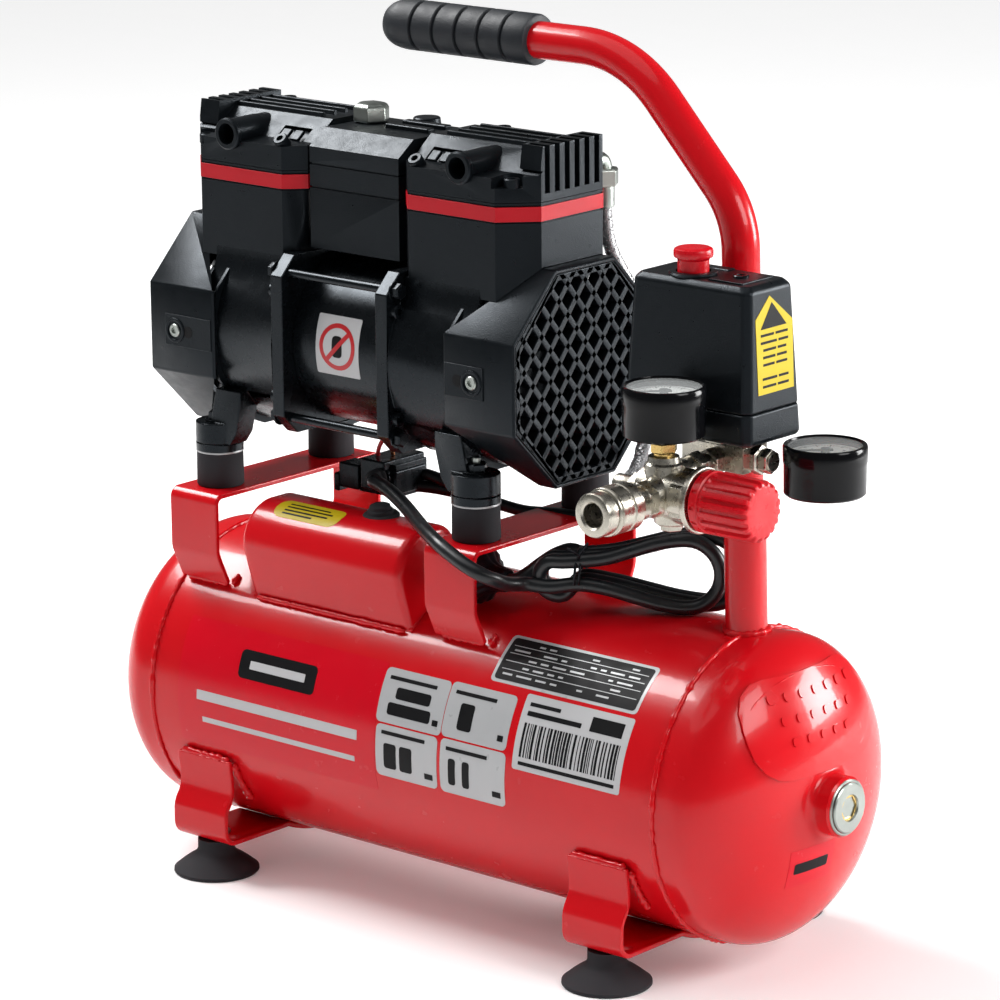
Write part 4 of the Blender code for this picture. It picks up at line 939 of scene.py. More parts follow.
def make_pump_brackets():
    top, bend = BRACKET_TOP_Z, 6.0
    front, tip = 69.0, 166.0
    path = [(0, top), (front - bend, top)]
    path += arc((front - bend, top - bend), bend, 90, 0, 8)[1:]
    path += [(front, 186.0), (front - 0.5, 183.5), (front - 1.5, 181.0), (tank_y(tip, 4.2), tip)]
    for side in (-1, 1):
        node = f"pump_bracket_{side_name(side)}"
        low, high = place_of(node)
        piece(node + "_bar", strip(path, -3.0, low.x, high.x), PAINT, replaces=node, bevel=0.9,
              segments=3)
        edge_welds(node, (low.x, high.x), (165.5, 167.0, 168.5, 170.0), 1.2, 1.8, 50 + side * 4)
        for end in (-1, 1):
            points = [(low.x + 3, end * (tank_y(tip) + 2.6), tip - 0.4),
                      (high.x - 3, end * (tank_y(tip) + 2.6), tip - 0.4)]
            bead(f"{node}_toe_{'fr'[end > 0]}", points, 2.0, seed=70 + side + end)
        for end, y in (("front", -MOUNT_Y), ("rear", MOUNT_Y)):
            node = f"rubber_mount_{side_name(side)}_{end}"
            x = offset_x(side, BRACKET_OFFSET)
            low, high = place_of(node)
            rise = high.z - low.z
            spun(node + "_rubber", RUBBER, [(0, 13.0), (0.6, 13.4), (rise - 5.4, 13.2)],
                 (x, y, low.z), AXIS_Z, 56, replaces=node)
            spun(node + "_plate", STEEL, [(0, 13.5), (0.6, 13.6), (1.0, 13.5)],
                 (x, y, high.z - 5.4), AXIS_Z, 56)
            spun(node + "_cap", CASTING, [(0, 13.5), (4.0, 13.6), (4.4, 13.3)],
                 (x, y, high.z - 4.4), AXIS_Z, 56)
            piece(node + "_nut", bolt((x, y, LUG_Z[1]), AXIS_Z, 6.4, 4.5, bmesh.new(), washer=8.0),
                  CASTING, bevel=0.2)
            spun(node + "_stud", ZINC, [(0, 2.6), (8.0, 2.6), (8.4, 2.2)], (x, y, LUG_Z[1]),
                 AXIS_Z, 20)


def make_tank_labels():
    def labels(name, material, cells, low=-0.5, high=0.15):
        """Films on the tank's front; cells are (x, x, angle, angle, corner radius)."""
        bm = bmesh.new()
        for x0, x1, a0, a1, corner in cells:
            count = max(1, int((a1 - a0) / 3))

            def place(u, v, lift):
                return shell_point(u, degrees(v / TANK_RADIUS), lift)

            v0, v1 = (radians(a) * TANK_RADIUS for a in (a0, a1))
            patch((x0, x1), (v0, v1), place, low, high, corner,
                  (max(2, int((x1 - x0) / 8)), count), bm)
        return piece(name, bm, material, slot="red_paint")

    labels("tank_decal", DECAL_RED, [(-163, -12, -16, 33.5, 1.5)])
    labels("decal_bars", WHITE, [(-148, -25, 2.2, 6.0, 0.4), (-144, -27, -6.4, -4.3, 0.3)], 0.05,
           0.25)
    labels("decal_block", INK, [(-118, -60, 14.5, 25.5, 3.0)], 0.05, 0.25)
    labels("decal_block_bar", WHITE, [(-110, -68, 18.4, 21.6, 0.5)], 0.15, 0.35)
    cells = [(-12, 35, 11.5, 32, 3.0), (35.5, 81.6, 12, 32.5, 3.0), (-11, 33.6, -9, 10.8, 3.0),
             (36, 82.3, -9, 11.3, 3.0)]
    labels("data_cells", SILVER, cells)
    marks = []
    figures = [[(11, 36, 9.4, 13.8), (7, 38, 3.2, 7.8)], [(10, 20, 3.4, 13.4)],
               [(6, 15, 3.4, 13.0), (17.5, 26.5, 3.4, 13.0)],
               [(6, 11, 3.4, 13.4), (16, 21, 3.4, 13.4)]]
    for number, (x0, x1, a0, a1, _) in enumerate(cells):
        marks.append((x0 + 4, x1 - 9 - 4 * (number % 2), a0 + 16.2, a0 + 17.6, 0.3))
        marks += [(x0 + left, x0 + right, a0 + low, a0 + high, 1.6)
                  for left, right, low, high in figures[number]]
        marks.append((x1 - 7 - 2 * (number > 1), x1 - 3, a0 + 3.0, a0 + 5.2, 0.3))
    labels("data_cell_marks", INK, marks, 0.05, 0.25)
    labels("data_plate", SILVER, [(58.5, 160, 36, 56, 2.5)])
    labels("data_plate_field", INK, [(60.5, 158, 37.2, 54.8, 2.0)], 0.02, 0.28)
    rows = [(63, 156, 41.4 + 3.3 * row, 41.65 + 3.3 * row, 0.0) for row in range(4)]
    ticks = []
    chance = random.Random(11)
    for row in range(5):
        x = 65.0
        while x < 150:
            width = chance.uniform(3, 11)
            if chance.random() < 0.6:
                ticks.append((x, min(x + width, 154), 39.3 + 3.3 * row, 40.0 + 3.3 * row, 0.0))
            x += width + 3.0
    labels("data_plate_lines", SILVER, rows + ticks, 0.1, 0.4)
    labels("code_label", WHITE, [(87, 161, 6.7, 34.5, 1.5)])
    stripes = []
    x = 91.0
    while x < 157:
        width = chance.choice((0.5, 0.9, 1.5))
        stripes.append((x, x + width, 11.5, 24.0, 0.0))
        x += width + chance.choice((0.7, 1.1, 1.7))
    stripes += [(91, 128, 26.6, 28.4, 0.2), (91, 112, 30.2, 31.6, 0.2), (91, 157, 8.6, 9.9, 0.2),
                (134, 156, 26.4, 31.8, 0.4)]
    labels("code_label_marks", INK, stripes, 0.05, 0.25)


# ---------------------------------------------------------------- handle

def make_handle():
    low, high = place_of("handle_post")
    lean = -0.026

    def post_x(z):
        return 178.9 + lean * (z - 200.0)

    spun("handle_socket", PAINT, [(0, 10.2), (0, 11.3), (high.z - low.z - 0.6, 11.3),
                                  (high.z - low.z, 10.8), (high.z - low.z, 10.2)],
         (post_x(low.z), 0, low.z), Vector((post_x(high.z) - post_x(low.z), 0, high.z - low.z)),
         56, closed=True, replaces="handle_post")
    ring = []
    for angle in circle(48):
        y = 11.6 * sin(angle)
        z = TANK_Z + sqrt(TANK_RADIUS ** 2 - y * y)
        ring.append((post_x(z) + 11.6 * cos(angle), y, z + 0.6))
    bead("post_weld", ring, 1.9, closed=True, seed=9)

    corners = [Vector((post_x(238.0), 238.0)), Vector((post_x(408.0), 408.0)),
               Vector((100.0, HANDLE_Z)), Vector((-40.0, HANDLE_Z))]
    route = [corners[0]]
    for before, corner, after, radius in ((*corners[:3], 50.0), (*corners[1:], 74.0)):
        incoming = (corner - before).normalized()
        outgoing = (after - corner).normalized()
        turn = incoming.angle(outgoing)
        centre = corner + (outgoing - incoming).normalized() * radius / cos(turn / 2)
        first = corner - incoming * radius * tan(turn / 2) - centre
        route += [centre + Matrix.Rotation(turn * step / 18, 2) @ first for step in range(19)]
    route.append(corners[3])
    piece("handle_bar", sweep([Vector((point.x, 0, point.y)) for point in route], HANDLE_RADIUS,
                              40), PAINT, replaces="handle_tube", sharp=60)

    start, end = -70.0, 37.0
    length = end - start
    profile = [(0.0, 0), (0.15, 3.0), (0.7, 6.0), (1.8, 8.4), (3.4, 10.3), (5.6, 11.7),
               (8.4, 12.8), (12.0, 13.5), (16.0, GRIP_RADIUS)]
    for groove in range(5):
        x = 26.0 + groove * (length - 26.0) / 5
        profile += [(x - 1.5, GRIP_RADIUS), (x - 1.0, GRIP_RADIUS - 0.5),
                    (x - 0.8, GRIP_RADIUS - 1.5), (x + 0.8, GRIP_RADIUS - 1.5),
                    (x + 1.0, GRIP_RADIUS - 0.5), (x + 1.5, GRIP_RADIUS)]
    profile += [(length - 2.0, GRIP_RADIUS), (length - 0.6, GRIP_RADIUS - 0.5),
                (length, GRIP_RADIUS - 1.6), (length, 0)]
    piece("handle_sleeve", lathe(profile, (start, 0, HANDLE_Z), AXIS_X, 72), GRIP,
          replaces="handle_grip", sharp=40)


# ---------------------------------------------------------------- pump

def plan_of_tower(side, inset=0.0):
    near, far = TOWER_OFFSET[0] + inset, TOWER_OFFSET[1] - inset
    half = TOWER_HALF_Y - inset
    small, large = TOWER_CHAMFER
    points = [(near + small, -half), (far - large, -half), (far, -half + large),
              (far, half - large), (far - large, half), (near + small, half), (near, half - small),
              (near, -half + small)]
    return [(offset_x(side, offset), y) for offset, y in points]


def octagon(half):
    return chamfered(half, half, half - half * tan(radians(22.5)), (0, PUMP_Z))


def make_motor():
    inner = FLANGE_INNER - 0.3
    spun("motor_can", CASTING, [(-inner, MOTOR_RADIUS), (inner, MOTOR_RADIUS)],
         (PUMP_X, 0, PUMP_Z), AXIS_X, 120, replaces="motor_shell", slot="black_paint")

    def can_point(u, v, lift):
        angle = v / MOTOR_RADIUS
        radius = MOTOR_RADIUS + lift
        return Vector((u, -radius * cos(angle), PUMP_Z + radius * sin(angle)))

    def on_can(x_range, angles, low, high, corner):
        v_range = [radians(angle) * MOTOR_RADIUS for angle in angles]
        return patch(x_range, v_range, can_point, low, high, corner, (6, 8))

    piece("motor_sticker", on_can((-84, -52), (-15, 24), -0.3, 0.15, 1.0), WHITE)
    ring = bmesh.new()
    for step in range(32):
        a0, a1 = (2 * pi * k / 32 for k in (step, step + 1))
        corners = [(radius * cos(a), radius * sin(a))
                   for radius, a in ((10.6, a0), (13.2, a0), (13.2, a1), (10.6, a1))]
        rings = [[ring.verts.new(can_point(-68 + u, radians(4) * MOTOR_RADIUS + v, lift))
                  for u, v in corners] for lift in (0.05, 0.25)]
        bridge(ring, rings, caps=True)
    piece("motor_sticker_ring", ring, WARN_RED, sharp=50)
    half = sqrt(0.5)
    bar = patch((-11.0, 11.0), (-1.3, 1.3), lambda u, v,
                lift: can_point(-68 + (u - v) * half, 3.5 + (u + v) * half, lift), 0.10, 0.30, 0.0,
                (10, 1))
    piece("motor_sticker_bar", bar, WARN_RED)
    piece("motor_sticker_sign", on_can((-72, -64.5), (-3, 11), 0.03, 0.2, 2.5), INK,
          slot="black_paint")

    rods = bmesh.new()
    heads = bmesh.new()
    for y in (-50.5, 50.5):
        for z in (-41.0, 41.0):
            rod((PUMP_X - inner, y, PUMP_Z + z), (PUMP_X + inner, y, PUMP_Z + z), 2.6, 24, bm=rods)
            for side in (-1, 1):
                x = offset_x(side, FLANGE_INNER + FLANGE_THICK)
                bolt((x, y, PUMP_Z + z), AXIS_X * side, 4.6, 4.2, heads, washer=5.6)
    piece("tie_rods", rods, CASTING, replaces=("tie_rod_front_upper", "tie_rod_front_lower",
                                               "tie_rod_rear_upper", "tie_rod_rear_lower"))
    piece("tie_rod_nuts", heads, CASTING, bevel=0.2)


def make_crankcase(side):
    name = side_name(side)
    node = f"crankcase_{name}"
    rounded(node, CASTING, 1.0, 2)
    start = offset_x(side, FLANGE_INNER + FLANGE_THICK)
    screws = bmesh.new()
    for y, z in ((-51.5, 30.0), (51.5, 30.0), (-51.5, -30.0), (51.5, -30.0)):
        screw((start, y, PUMP_Z + z), AXIS_X * side, 4.0, 4.0, screws)
    piece(node + "_screws", screws, CASTING)
    fillets = bmesh.new()
    for front in (-1, 1):
        hollow = [(front * y, PUMP_Z + z) for y, z in arc((73.0, 47.7), 30.0, 180, 213.2, 6)]
        inner = [(front * 40.0, PUMP_Z + 30.0), (front * 40.0, PUMP_Z + 48.5)]
        prism(hollow + inner, "x", offset_x(side, 44.0), offset_x(side, CASE_END - 1), fillets)
    piece(node + "_fillets", fillets, CASTING)


def make_crank_cover(side):
    """Ribbed end of the crank chamber, seen through the grille behind the fan."""
    name = side_name(side)
    bm = lathe([(0, 6), (0, 53.4), (2.6, 53.4), (2.6, 18), (4.6, 16.5), (4.6, 6)],
               (offset_x(side, 92.5), 0, PUMP_Z), AXIS_X * side, 72, closed=True)
    for angle in circle(8):
        out = Vector((0, cos(angle), sin(angle)))
        across = Vector((0, -out.z, out.y)) * 1.4
        base = Vector((offset_x(side, 94.6), 0, PUMP_Z))
        spoke(bm, base, out, across, 15, 52.5, AXIS_X * side * 2.6)
    piece(f"crank_cover_{name}", bm, CASTING, bevel=0.4)


def make_tower(side):
    name = side_name(side)
    node = f"cylinder_housing_{name}"
    inner, outer = plan_of_tower(side, 0.7), plan_of_tower(side, -1.0)
    cuts = [ring_prism(outer, inner, "z", z, z + 0.9) for z in (STRIPE_Z[0] - 0.9, STRIPE_Z[1])]
    rounded(node, PLASTIC, 1.1, 3, cuts=cuts)
    piece(f"stripe_{name}", ring_prism(plan_of_tower(side, -0.25), plan_of_tower(side, 0.6), "z",
                                       *STRIPE_Z), STRIPE, bevel=0.15)


def make_head_cover(side):
    """Cover with its fins, slotted recess, screw pockets and intake stub."""
    name = side_name(side)
    node = f"head_cover_{name}"
    cuts = []
    for start, bottom, top in ((113.5, FIN_TOP_Z - 3.4, FIN_TOP_Z + 3),
                               (123.6, 409, FIN_TOP_Z - 1)):
        cuts.append(bmesh.new())
        low, high = span(side, start, 135)
        for y in [-20.5 + step * 8.2 for step in range(6)]:
            box((low, y - 2.1, bottom), (high, y + 2.1, top), cuts[-1])
    x = offset_x(side, 113)
    cuts.append(rod((x, -33.5, 412.5), (x, -33.5, 445), 6.6, 32))
    low, high = span(side, 106.4, 119.6)
    cuts.append(box((low, -60, 412.5), (high, -33.5, 445)))
    low, high = span(side, 45, 66)
    slope = [(-17.2, 423.2), (-25.2, 417.0), (-33.2, 423.2), (-25.2, 431.0)]
    cuts.append(prism(slope, "x", low, high))
    rounded(node, PLASTIC, 0.8, 3, cuts=cuts)

    ribs = bmesh.new()
    for y in (-8.5, 0.5, 9.5, 18.5):
        low, high = span(side, 46, 112.6)
        outline = [(y - 1.8, COVER_TOP_Z - 0.5), (y + 1.8, COVER_TOP_Z - 0.5),
                   (y + 1.0, FIN_TOP_Z - 1.6), (y - 1.0, FIN_TOP_Z - 1.6)]
        prism(outline, "x", low, high, ribs)
    piece(f"head_ribs_{name}", ribs, PLASTIC, bevel=0.5, segments=3)

    slots = bmesh.new()
    direction = Vector((0, 0.79, 0.61))
    normal = Vector((0, -0.61, 0.79))
    middle = Vector((0, -24.6, 420.4))
    for offset in (51.0, 60.0):
        centre = middle + AXIS_X * offset_x(side, offset)
        half_u, half_v = AXIS_X * 3.0, direction * 3.6
        film(slots, [centre + half_u + half_v, centre - half_u + half_v, centre - half_u - half_v,
                     centre + half_u - half_v], normal * 2.2)
    piece(f"head_tabs_{name}", slots, PLASTIC, bevel=0.5)

    screws = bmesh.new()
    screw((offset_x(side, 113), -33.5, 412.2), AXIS_Z, 4.4, 5.2, screws)
    screw(Vector((offset_x(side, 50), -37.0, 417.6)), normal, 4.2, 6.0, screws)
    for offset in (50, 112):
        screw((offset_x(side, offset), 33.0, 426.0), AXIS_Z, 4.0, 4.0, screws)
    piece(f"head_screws_{name}", screws, PLASTIC)

    x = offset_x(side, STUB_OFFSET)
    spun(f"intake_lip_{name}", PLASTIC, [(0, STUB_BORE), (0, STUB_RADIUS - 0.2),
                                         (0.7, STUB_RADIUS + 0.8), (2.6, STUB_RADIUS + 0.8),
                                         (3.6, STUB_RADIUS), (24, STUB_RADIUS + 0.15),
                                         (24, STUB_BORE)], (x, -TOWER_HALF_Y - 3.6, STUB_Z),
         AXIS_Y, 48, closed=True)
    piece(f"intake_felt_{name}", rod((x, -22.4, STUB_Z), (x, -23.6, STUB_Z), STUB_BORE - 0.05, 32),
          RUBBER)


def make_fan(side):
    """Seven twisted blades on a hub."""
    name = side_name(side)
    middle = offset_x(side, 106.5)
    bm = lathe([(-5.2, 5.3), (-5.2, 13.5), (4.4, 14.5), (5.2, 13.5), (5.2, 5.3)],
               (middle, 0, PUMP_Z), AXIS_X, 48, closed=True)
    for blade in range(7):
        rings = []
        for step in range(9):
            radius = 13.0 + step * 36.5 / 8
            pitch = radians(52 - step * 2.6)
            chord = 14.0 + step * 1.2
            lead = radians(360 / 7 * blade + step * 1.5)
            ring = []
            for part, thick in ((-0.5, 0), (0.0, 0.9), (0.5, 0), (0.0, -0.9)):
                reach = part * chord
                along = reach * cos(pitch) * 0.72 + thick * sin(pitch) * 0.6
                around = reach * sin(pitch) - thick * cos(pitch) * 0.6
                angle = lead + around / radius
                ring.append(bm.verts.new((middle + side * along, radius * cos(angle),
                                          PUMP_Z + radius * sin(angle))))
            rings.append(ring)
        bridge(bm, rings, caps=True)
    piece(f"fan_wheel_{name}", bm, HOUSING, body="rotor", replaces=f"fan_{name}", sharp=50)


def make_shroud(side):
    """Octagonal hood, its fine grille, and the screws that hold it."""
    name = side_name(side)
    start, end = span(side, SHROUD_SIDE, SHROUD_END)
    hood = piece(f"shroud_hood_{name}", prism(octagon(SHROUD_HALF), "x", start, end), PLASTIC,
                 replaces=f"fan_shroud_{name}", bevel=1.3, segments=3)
    carve(hood, prism(octagon(SHROUD_HALF - SHROUD_WALL), "x", offset_x(side, SHROUD_SIDE - 5),
                      offset_x(side, SHROUD_END + 5)))
    half_flat = SHROUD_HALF * tan(radians(22.5))
    flare = ((SHROUD_SIDE - 8, SHROUD_HALF * 1.2), (SHROUD_SIDE, SHROUD_HALF),
             (SHROUD_TOP, half_flat), (SHROUD_TOP, 0), (SHROUD_SIDE - 8, 0))
    for direction in (1, -1):
        for front in (1, -1):
            wedge = [(offset_x(side, offset), front * y) for offset, y in flare]
            levels = sorted((PUMP_Z + direction * half_flat,
                             PUMP_Z + direction * (SHROUD_HALF + 5)))
            carve(hood, prism(wedge, "z", *levels))
    dress(hood, PLASTIC)

    inside = SHROUD_HALF - SHROUD_WALL - 0.1
    face = offset_x(side, SHROUD_END - 0.4)
    pitch_y, pitch_z = 14.5, 17.0
    length = hypot(pitch_y, pitch_z)
    for hand, depth in ((1, 7.0), (-1, 6.6)):
        lattice = bmesh.new()
        along = Vector((pitch_y, hand * pitch_z)) / length
        across = Vector((-along.y, along.x))
        spacing = pitch_y * pitch_z / length
        for step in range(-8, 9):
            middle = across * spacing * step
            corners = [middle + along * reach + across * width
                       for reach, width in ((-90, -1.8), (90, -1.8), (90, 1.8), (-90, 1.8))]
            prism([(corner.x, PUMP_Z + corner.y) for corner in corners], "x",
                  *sorted((face, offset_x(side, SHROUD_END - 0.4 - depth))), bm=lattice)
        grille = piece(f"grille_{name}_{'ab'[hand > 0]}", lattice, PLASTIC, bevel=0.3)
        carve(grille, prism(octagon(inside), "x", face - 20, face + 20), "INTERSECT")
        dress(grille, PLASTIC)
    piece(f"grille_rim_{name}", ring_prism(octagon(inside + 0.2), octagon(inside - 3.6), "x", face,
                                           offset_x(side, SHROUD_END - 7.6)), PLASTIC, bevel=0.6)
    offset, z = SHROUD_SCREW[side]
    tabs, screws, notches = bmesh.new(), bmesh.new(), bmesh.new()
    for front in (-1, 1):
        y = front * SHROUD_HALF
        x = offset_x(side, offset)
        hole = offset_x(side, offset - 10.0)
        lathe([(-0.5, 5.2), (-0.5, 7.2), (1.1, 7.2), (1.5, 6.8), (1.5, 5.6), (1.1, 5.2)],
              (x, y, z), AXIS_Y * front, 40, closed=True, bm=tabs)
        ends = span(side, SHROUD_SIDE + 1.5, offset + 8.0)
        sides = sorted((y - front * 1.0, y + front * 0.7))
        box((ends[0], sides[0], z - 9.0), (ends[1], sides[1], z + 9.0), tabs)
        screw((x, y, z), AXIS_Y * front, 3.8, 1.8, screws)
        # painted shade: a thin black ink disc, proud of the hood, stands in for the dark inside of
        # the half-round hole
        rod((hole, y, z), (hole, y + front * 0.8, z), 3.4, 32, bm=notches)
    piece(f"shroud_rings_{name}", tabs, PLASTIC, bevel=0.4)
    piece(f"shroud_screws_{name}", screws, ZINC)
    # black discs painted as the shade inside the hood's holes, not cut holes
    piece(f"shroud_hole_shades_{name}", notches, INK, slot="black_plastic")

    def to_edge(angle, half):
        eighth = pi / 4
        return half / cos((angle + eighth / 2) % eighth - eighth / 2)

    turns = [2 * pi * (step + 0.5) / 48 for step in range(48)]
    edge, bore = [[(reach(a) * cos(a), PUMP_Z + reach(a) * sin(a)) for a in turns]
                  for reach in (lambda a: to_edge(a, SHROUD_HALF - SHROUD_WALL + 0.2),
                                lambda a: CASE_RADIUS - 0.4)]
    piece(f"shroud_back_{name}", ring_prism(edge, bore, "x", offset_x(side, SHROUD_SIDE + 0.4),
                                            offset_x(side, SHROUD_SIDE + 2.2)), PLASTIC)


def make_air_duct():
    half_x, half_y = 33.0, 35.0
    grooves = []
    for z in (396.0, 409.0):
        outer = chamfered(half_x + 2, half_y + 2, 0.01, (PUMP_X, 0))
        inner = chamfered(half_x - 0.9, half_y - 0.9, 0.01, (PUMP_X, 0))
        grooves.append(ring_prism(outer, inner, "z", z, z + 1.1))
    rounded("air_duct", PLASTIC, 1.4, 3, cuts=grooves)
    bars = bmesh.new()
    box((PUMP_X - 5, -4, 427), (PUMP_X + 27, 2, 430.5), bars)
    box((PUMP_X - 5, 10, 427), (PUMP_X + 27, 16, 430.5), bars)
    piece("air_duct_ribs", bars, PLASTIC, bevel=1.0, segments=3)
    spun("air_duct_boss", PLASTIC, [(0, 8.0), (3.4, 7.6), (4.0, 7.0)], (PUMP_X + 3, 22, 427.5),
         AXIS_Z, 40)
    low, high = place_of("outlet_fitting")
    centre = ((low.x + high.x) / 2, (low.y + high.y) / 2, low.z)
    rise = high.z - low.z
    spun("outlet_cap", ZINC, [(0, 9.6), (0.9, 10.5), (rise - 3.0, 10.5), (rise - 1.4, 9.5),
                              (rise - 0.6, 8.2), (rise, 6.0)], centre, AXIS_Z, 6,
         replaces="outlet_fitting", bevel=0.5, segments=3)


# ---------------------------------------------------------------- electrics

def make_capacitor_cover():
    crown_z, front, back = 218.2, -69.0, -19.0
    low_x, high_x = -127.0, -7.0
    radius, small = 24.0, 16.0
    crown = arc((front + radius, crown_z - radius), radius, 180, 95, 18)
    rear = arc((back - small, crown_z - small), small, 85, 0, 14)
    outline = [(front + 18.0, 140.0)] + crown + rear + [(back, 140.0)]
    rings = []
    bm = bmesh.new()
    edge = 5.0
    centre = Vector(((front + back) / 2, 180.0))
    stops = [edge * (1 - sin(radians(a))) for a in range(90, -1, -10)]
    stations = ([(low_x + stop, edge - sqrt(edge ** 2 - (edge - stop) ** 2)) for stop in stops]
                + [(high_x - stop, edge - sqrt(edge ** 2 - (edge - stop) ** 2))
                   for stop in stops[::-1]])
    for x, inset in stations:
        ring = []
        for y, z in outline:
            out = Vector((y, z)) - centre
            scale = Vector((1 - inset / 26.0, 1 - inset / 38.0 if z > 150 else 1.0))
            ring.append(bm.verts.new((x, centre.x + out.x * scale.x, centre.y + out.y * scale.y)))
        rings.append(ring)
    bridge(bm, rings, caps=True)
    piece("capacitor_hood", bm, PAINT, replaces="capacitor_cover", sharp=45)
    bead("hood_weld_front", [(x, -60.2, 163.0) for x in (low_x + 4, -67, high_x - 4)], 1.5,
         seed=31)
    for x, sign in ((low_x, -1), (high_x, 1)):
        points = [(x - sign * 1.0, -tank_y(z, 0.8), z) for z in (163, 168, 173, 178, 182)]
        bead(f"hood_weld_{side_name(sign)}", points, 1.3, seed=33 + sign)

    def crown_point(u, v, lift):
        angle = radians(180) - v / radius
        reach = radius + lift
        return Vector((u, front + radius + reach * cos(angle),
                       crown_z - radius + reach * sin(angle)))

    v0, v1 = (radians(a) * radius for a in (50, 88))
    sticker = patch((-111, -63), (v0, v1), crown_point, -0.3, 0.2, 6.0, (8, 6))
    piece("hood_sticker", sticker, YELLOW)
    bm = bmesh.new()
    for part, right in ((0.72, -74), (0.54, -70), (0.36, -72), (0.20, -82)):
        v = v0 + (v1 - v0) * part
        patch((-104, right), (v - 0.55, v + 0.55), crown_point, 0.1, 0.32, 0.0, (5, 1), bm)
    piece("hood_sticker_bars", bm, INK)

    at = (-47.9, -37.6, 216.4)
    spun("hood_grommet", RUBBER, [(0, 10.5), (1.6, 10.8), (3.0, 9.6), (3.4, 7.6), (5.2, 7.2),
                                  (5.6, 6.2), (7.6, 5.8), (8.2, 4.6)], at, Vector((0, -0.12, 1)),
         40)
    finish_node("run_capacitor", SPINDLE)


def make_terminal_block():
    low, high = place_of("terminal_block")
    rounded("terminal_block", HOUSING, 1.2, 2)
    blocks = bmesh.new()
    box((low.x - 13, low.y + 2, 223), (low.x + 2, low.y + 16, 237.5), blocks)
    box((low.x - 16, low.y + 1, 220.5), (low.x - 12, low.y + 17, 231), blocks)
    box((low.x + 7, low.y - 1.6, 226), (high.x - 3, high.y + 1.6, 243.5), blocks)
    box((high.x - 1.5, low.y + 3, 224), (high.x + 1.6, high.y - 2, 238), blocks)
    piece("terminal_housings", blocks, HOUSING, bevel=1.1)
    wires = [("wire_red", WARN_RED, 1.2, [(-73, -10, 236), (-72, -13, 246), (-66, -14, 256),
                                          (-60, -16, 263)]),
             ("wire_brown", COPPER, 1.2, [(-68, -4, 240), (-68, -6, 250), (-62, -9, 262)]),
             ("motor_lead", CORD, 3.4, [(-60, 6, 232), (-50, 8, 231), (-38, 12, 226),
                                        (-31, 16, 214), (-30, 20, 200), (-34, 24, 187)]),
             ("switch_lead", CORD, 3.4, [(-60, 0, 226), (-46, 10, 224), (-24, 20, 220),
                                         (0, 26, 216), (24, 27, 218), (60, 27, 222),
                                         (110, 26, 240), (145, 14, 262), (160, -12, 284),
                                         (163, -30, 303)])]
    for name, material, radius, points in wires:
        piece(name, sweep(smooth_route(points, 2.0), radius, 14), material, slot="black_rubber",
              sharp=80)


# ---------------------------------------------------------------- air fittings

def make_manifold():
    rounded("manifold", NICKEL, 1.2, 3)
    bm = bmesh.new()
    bolt((REG_X, -36, 297.4), AXIS_Z, 11.0, 4.4, bm)
    bolt((REG_X, -46, 287.0), -AXIS_Y, 8.6, 6.0, bm)
    bolt((178, -26, MANIFOLD_Z), AXIS_Y, 8.0, 5.0, bm)
    bolt((211.5, -36, MANIFOLD_Z), AXIS_X, 8.2, 6.0, bm)
    piece("manifold_nuts", bm, NICKEL, bevel=0.4)


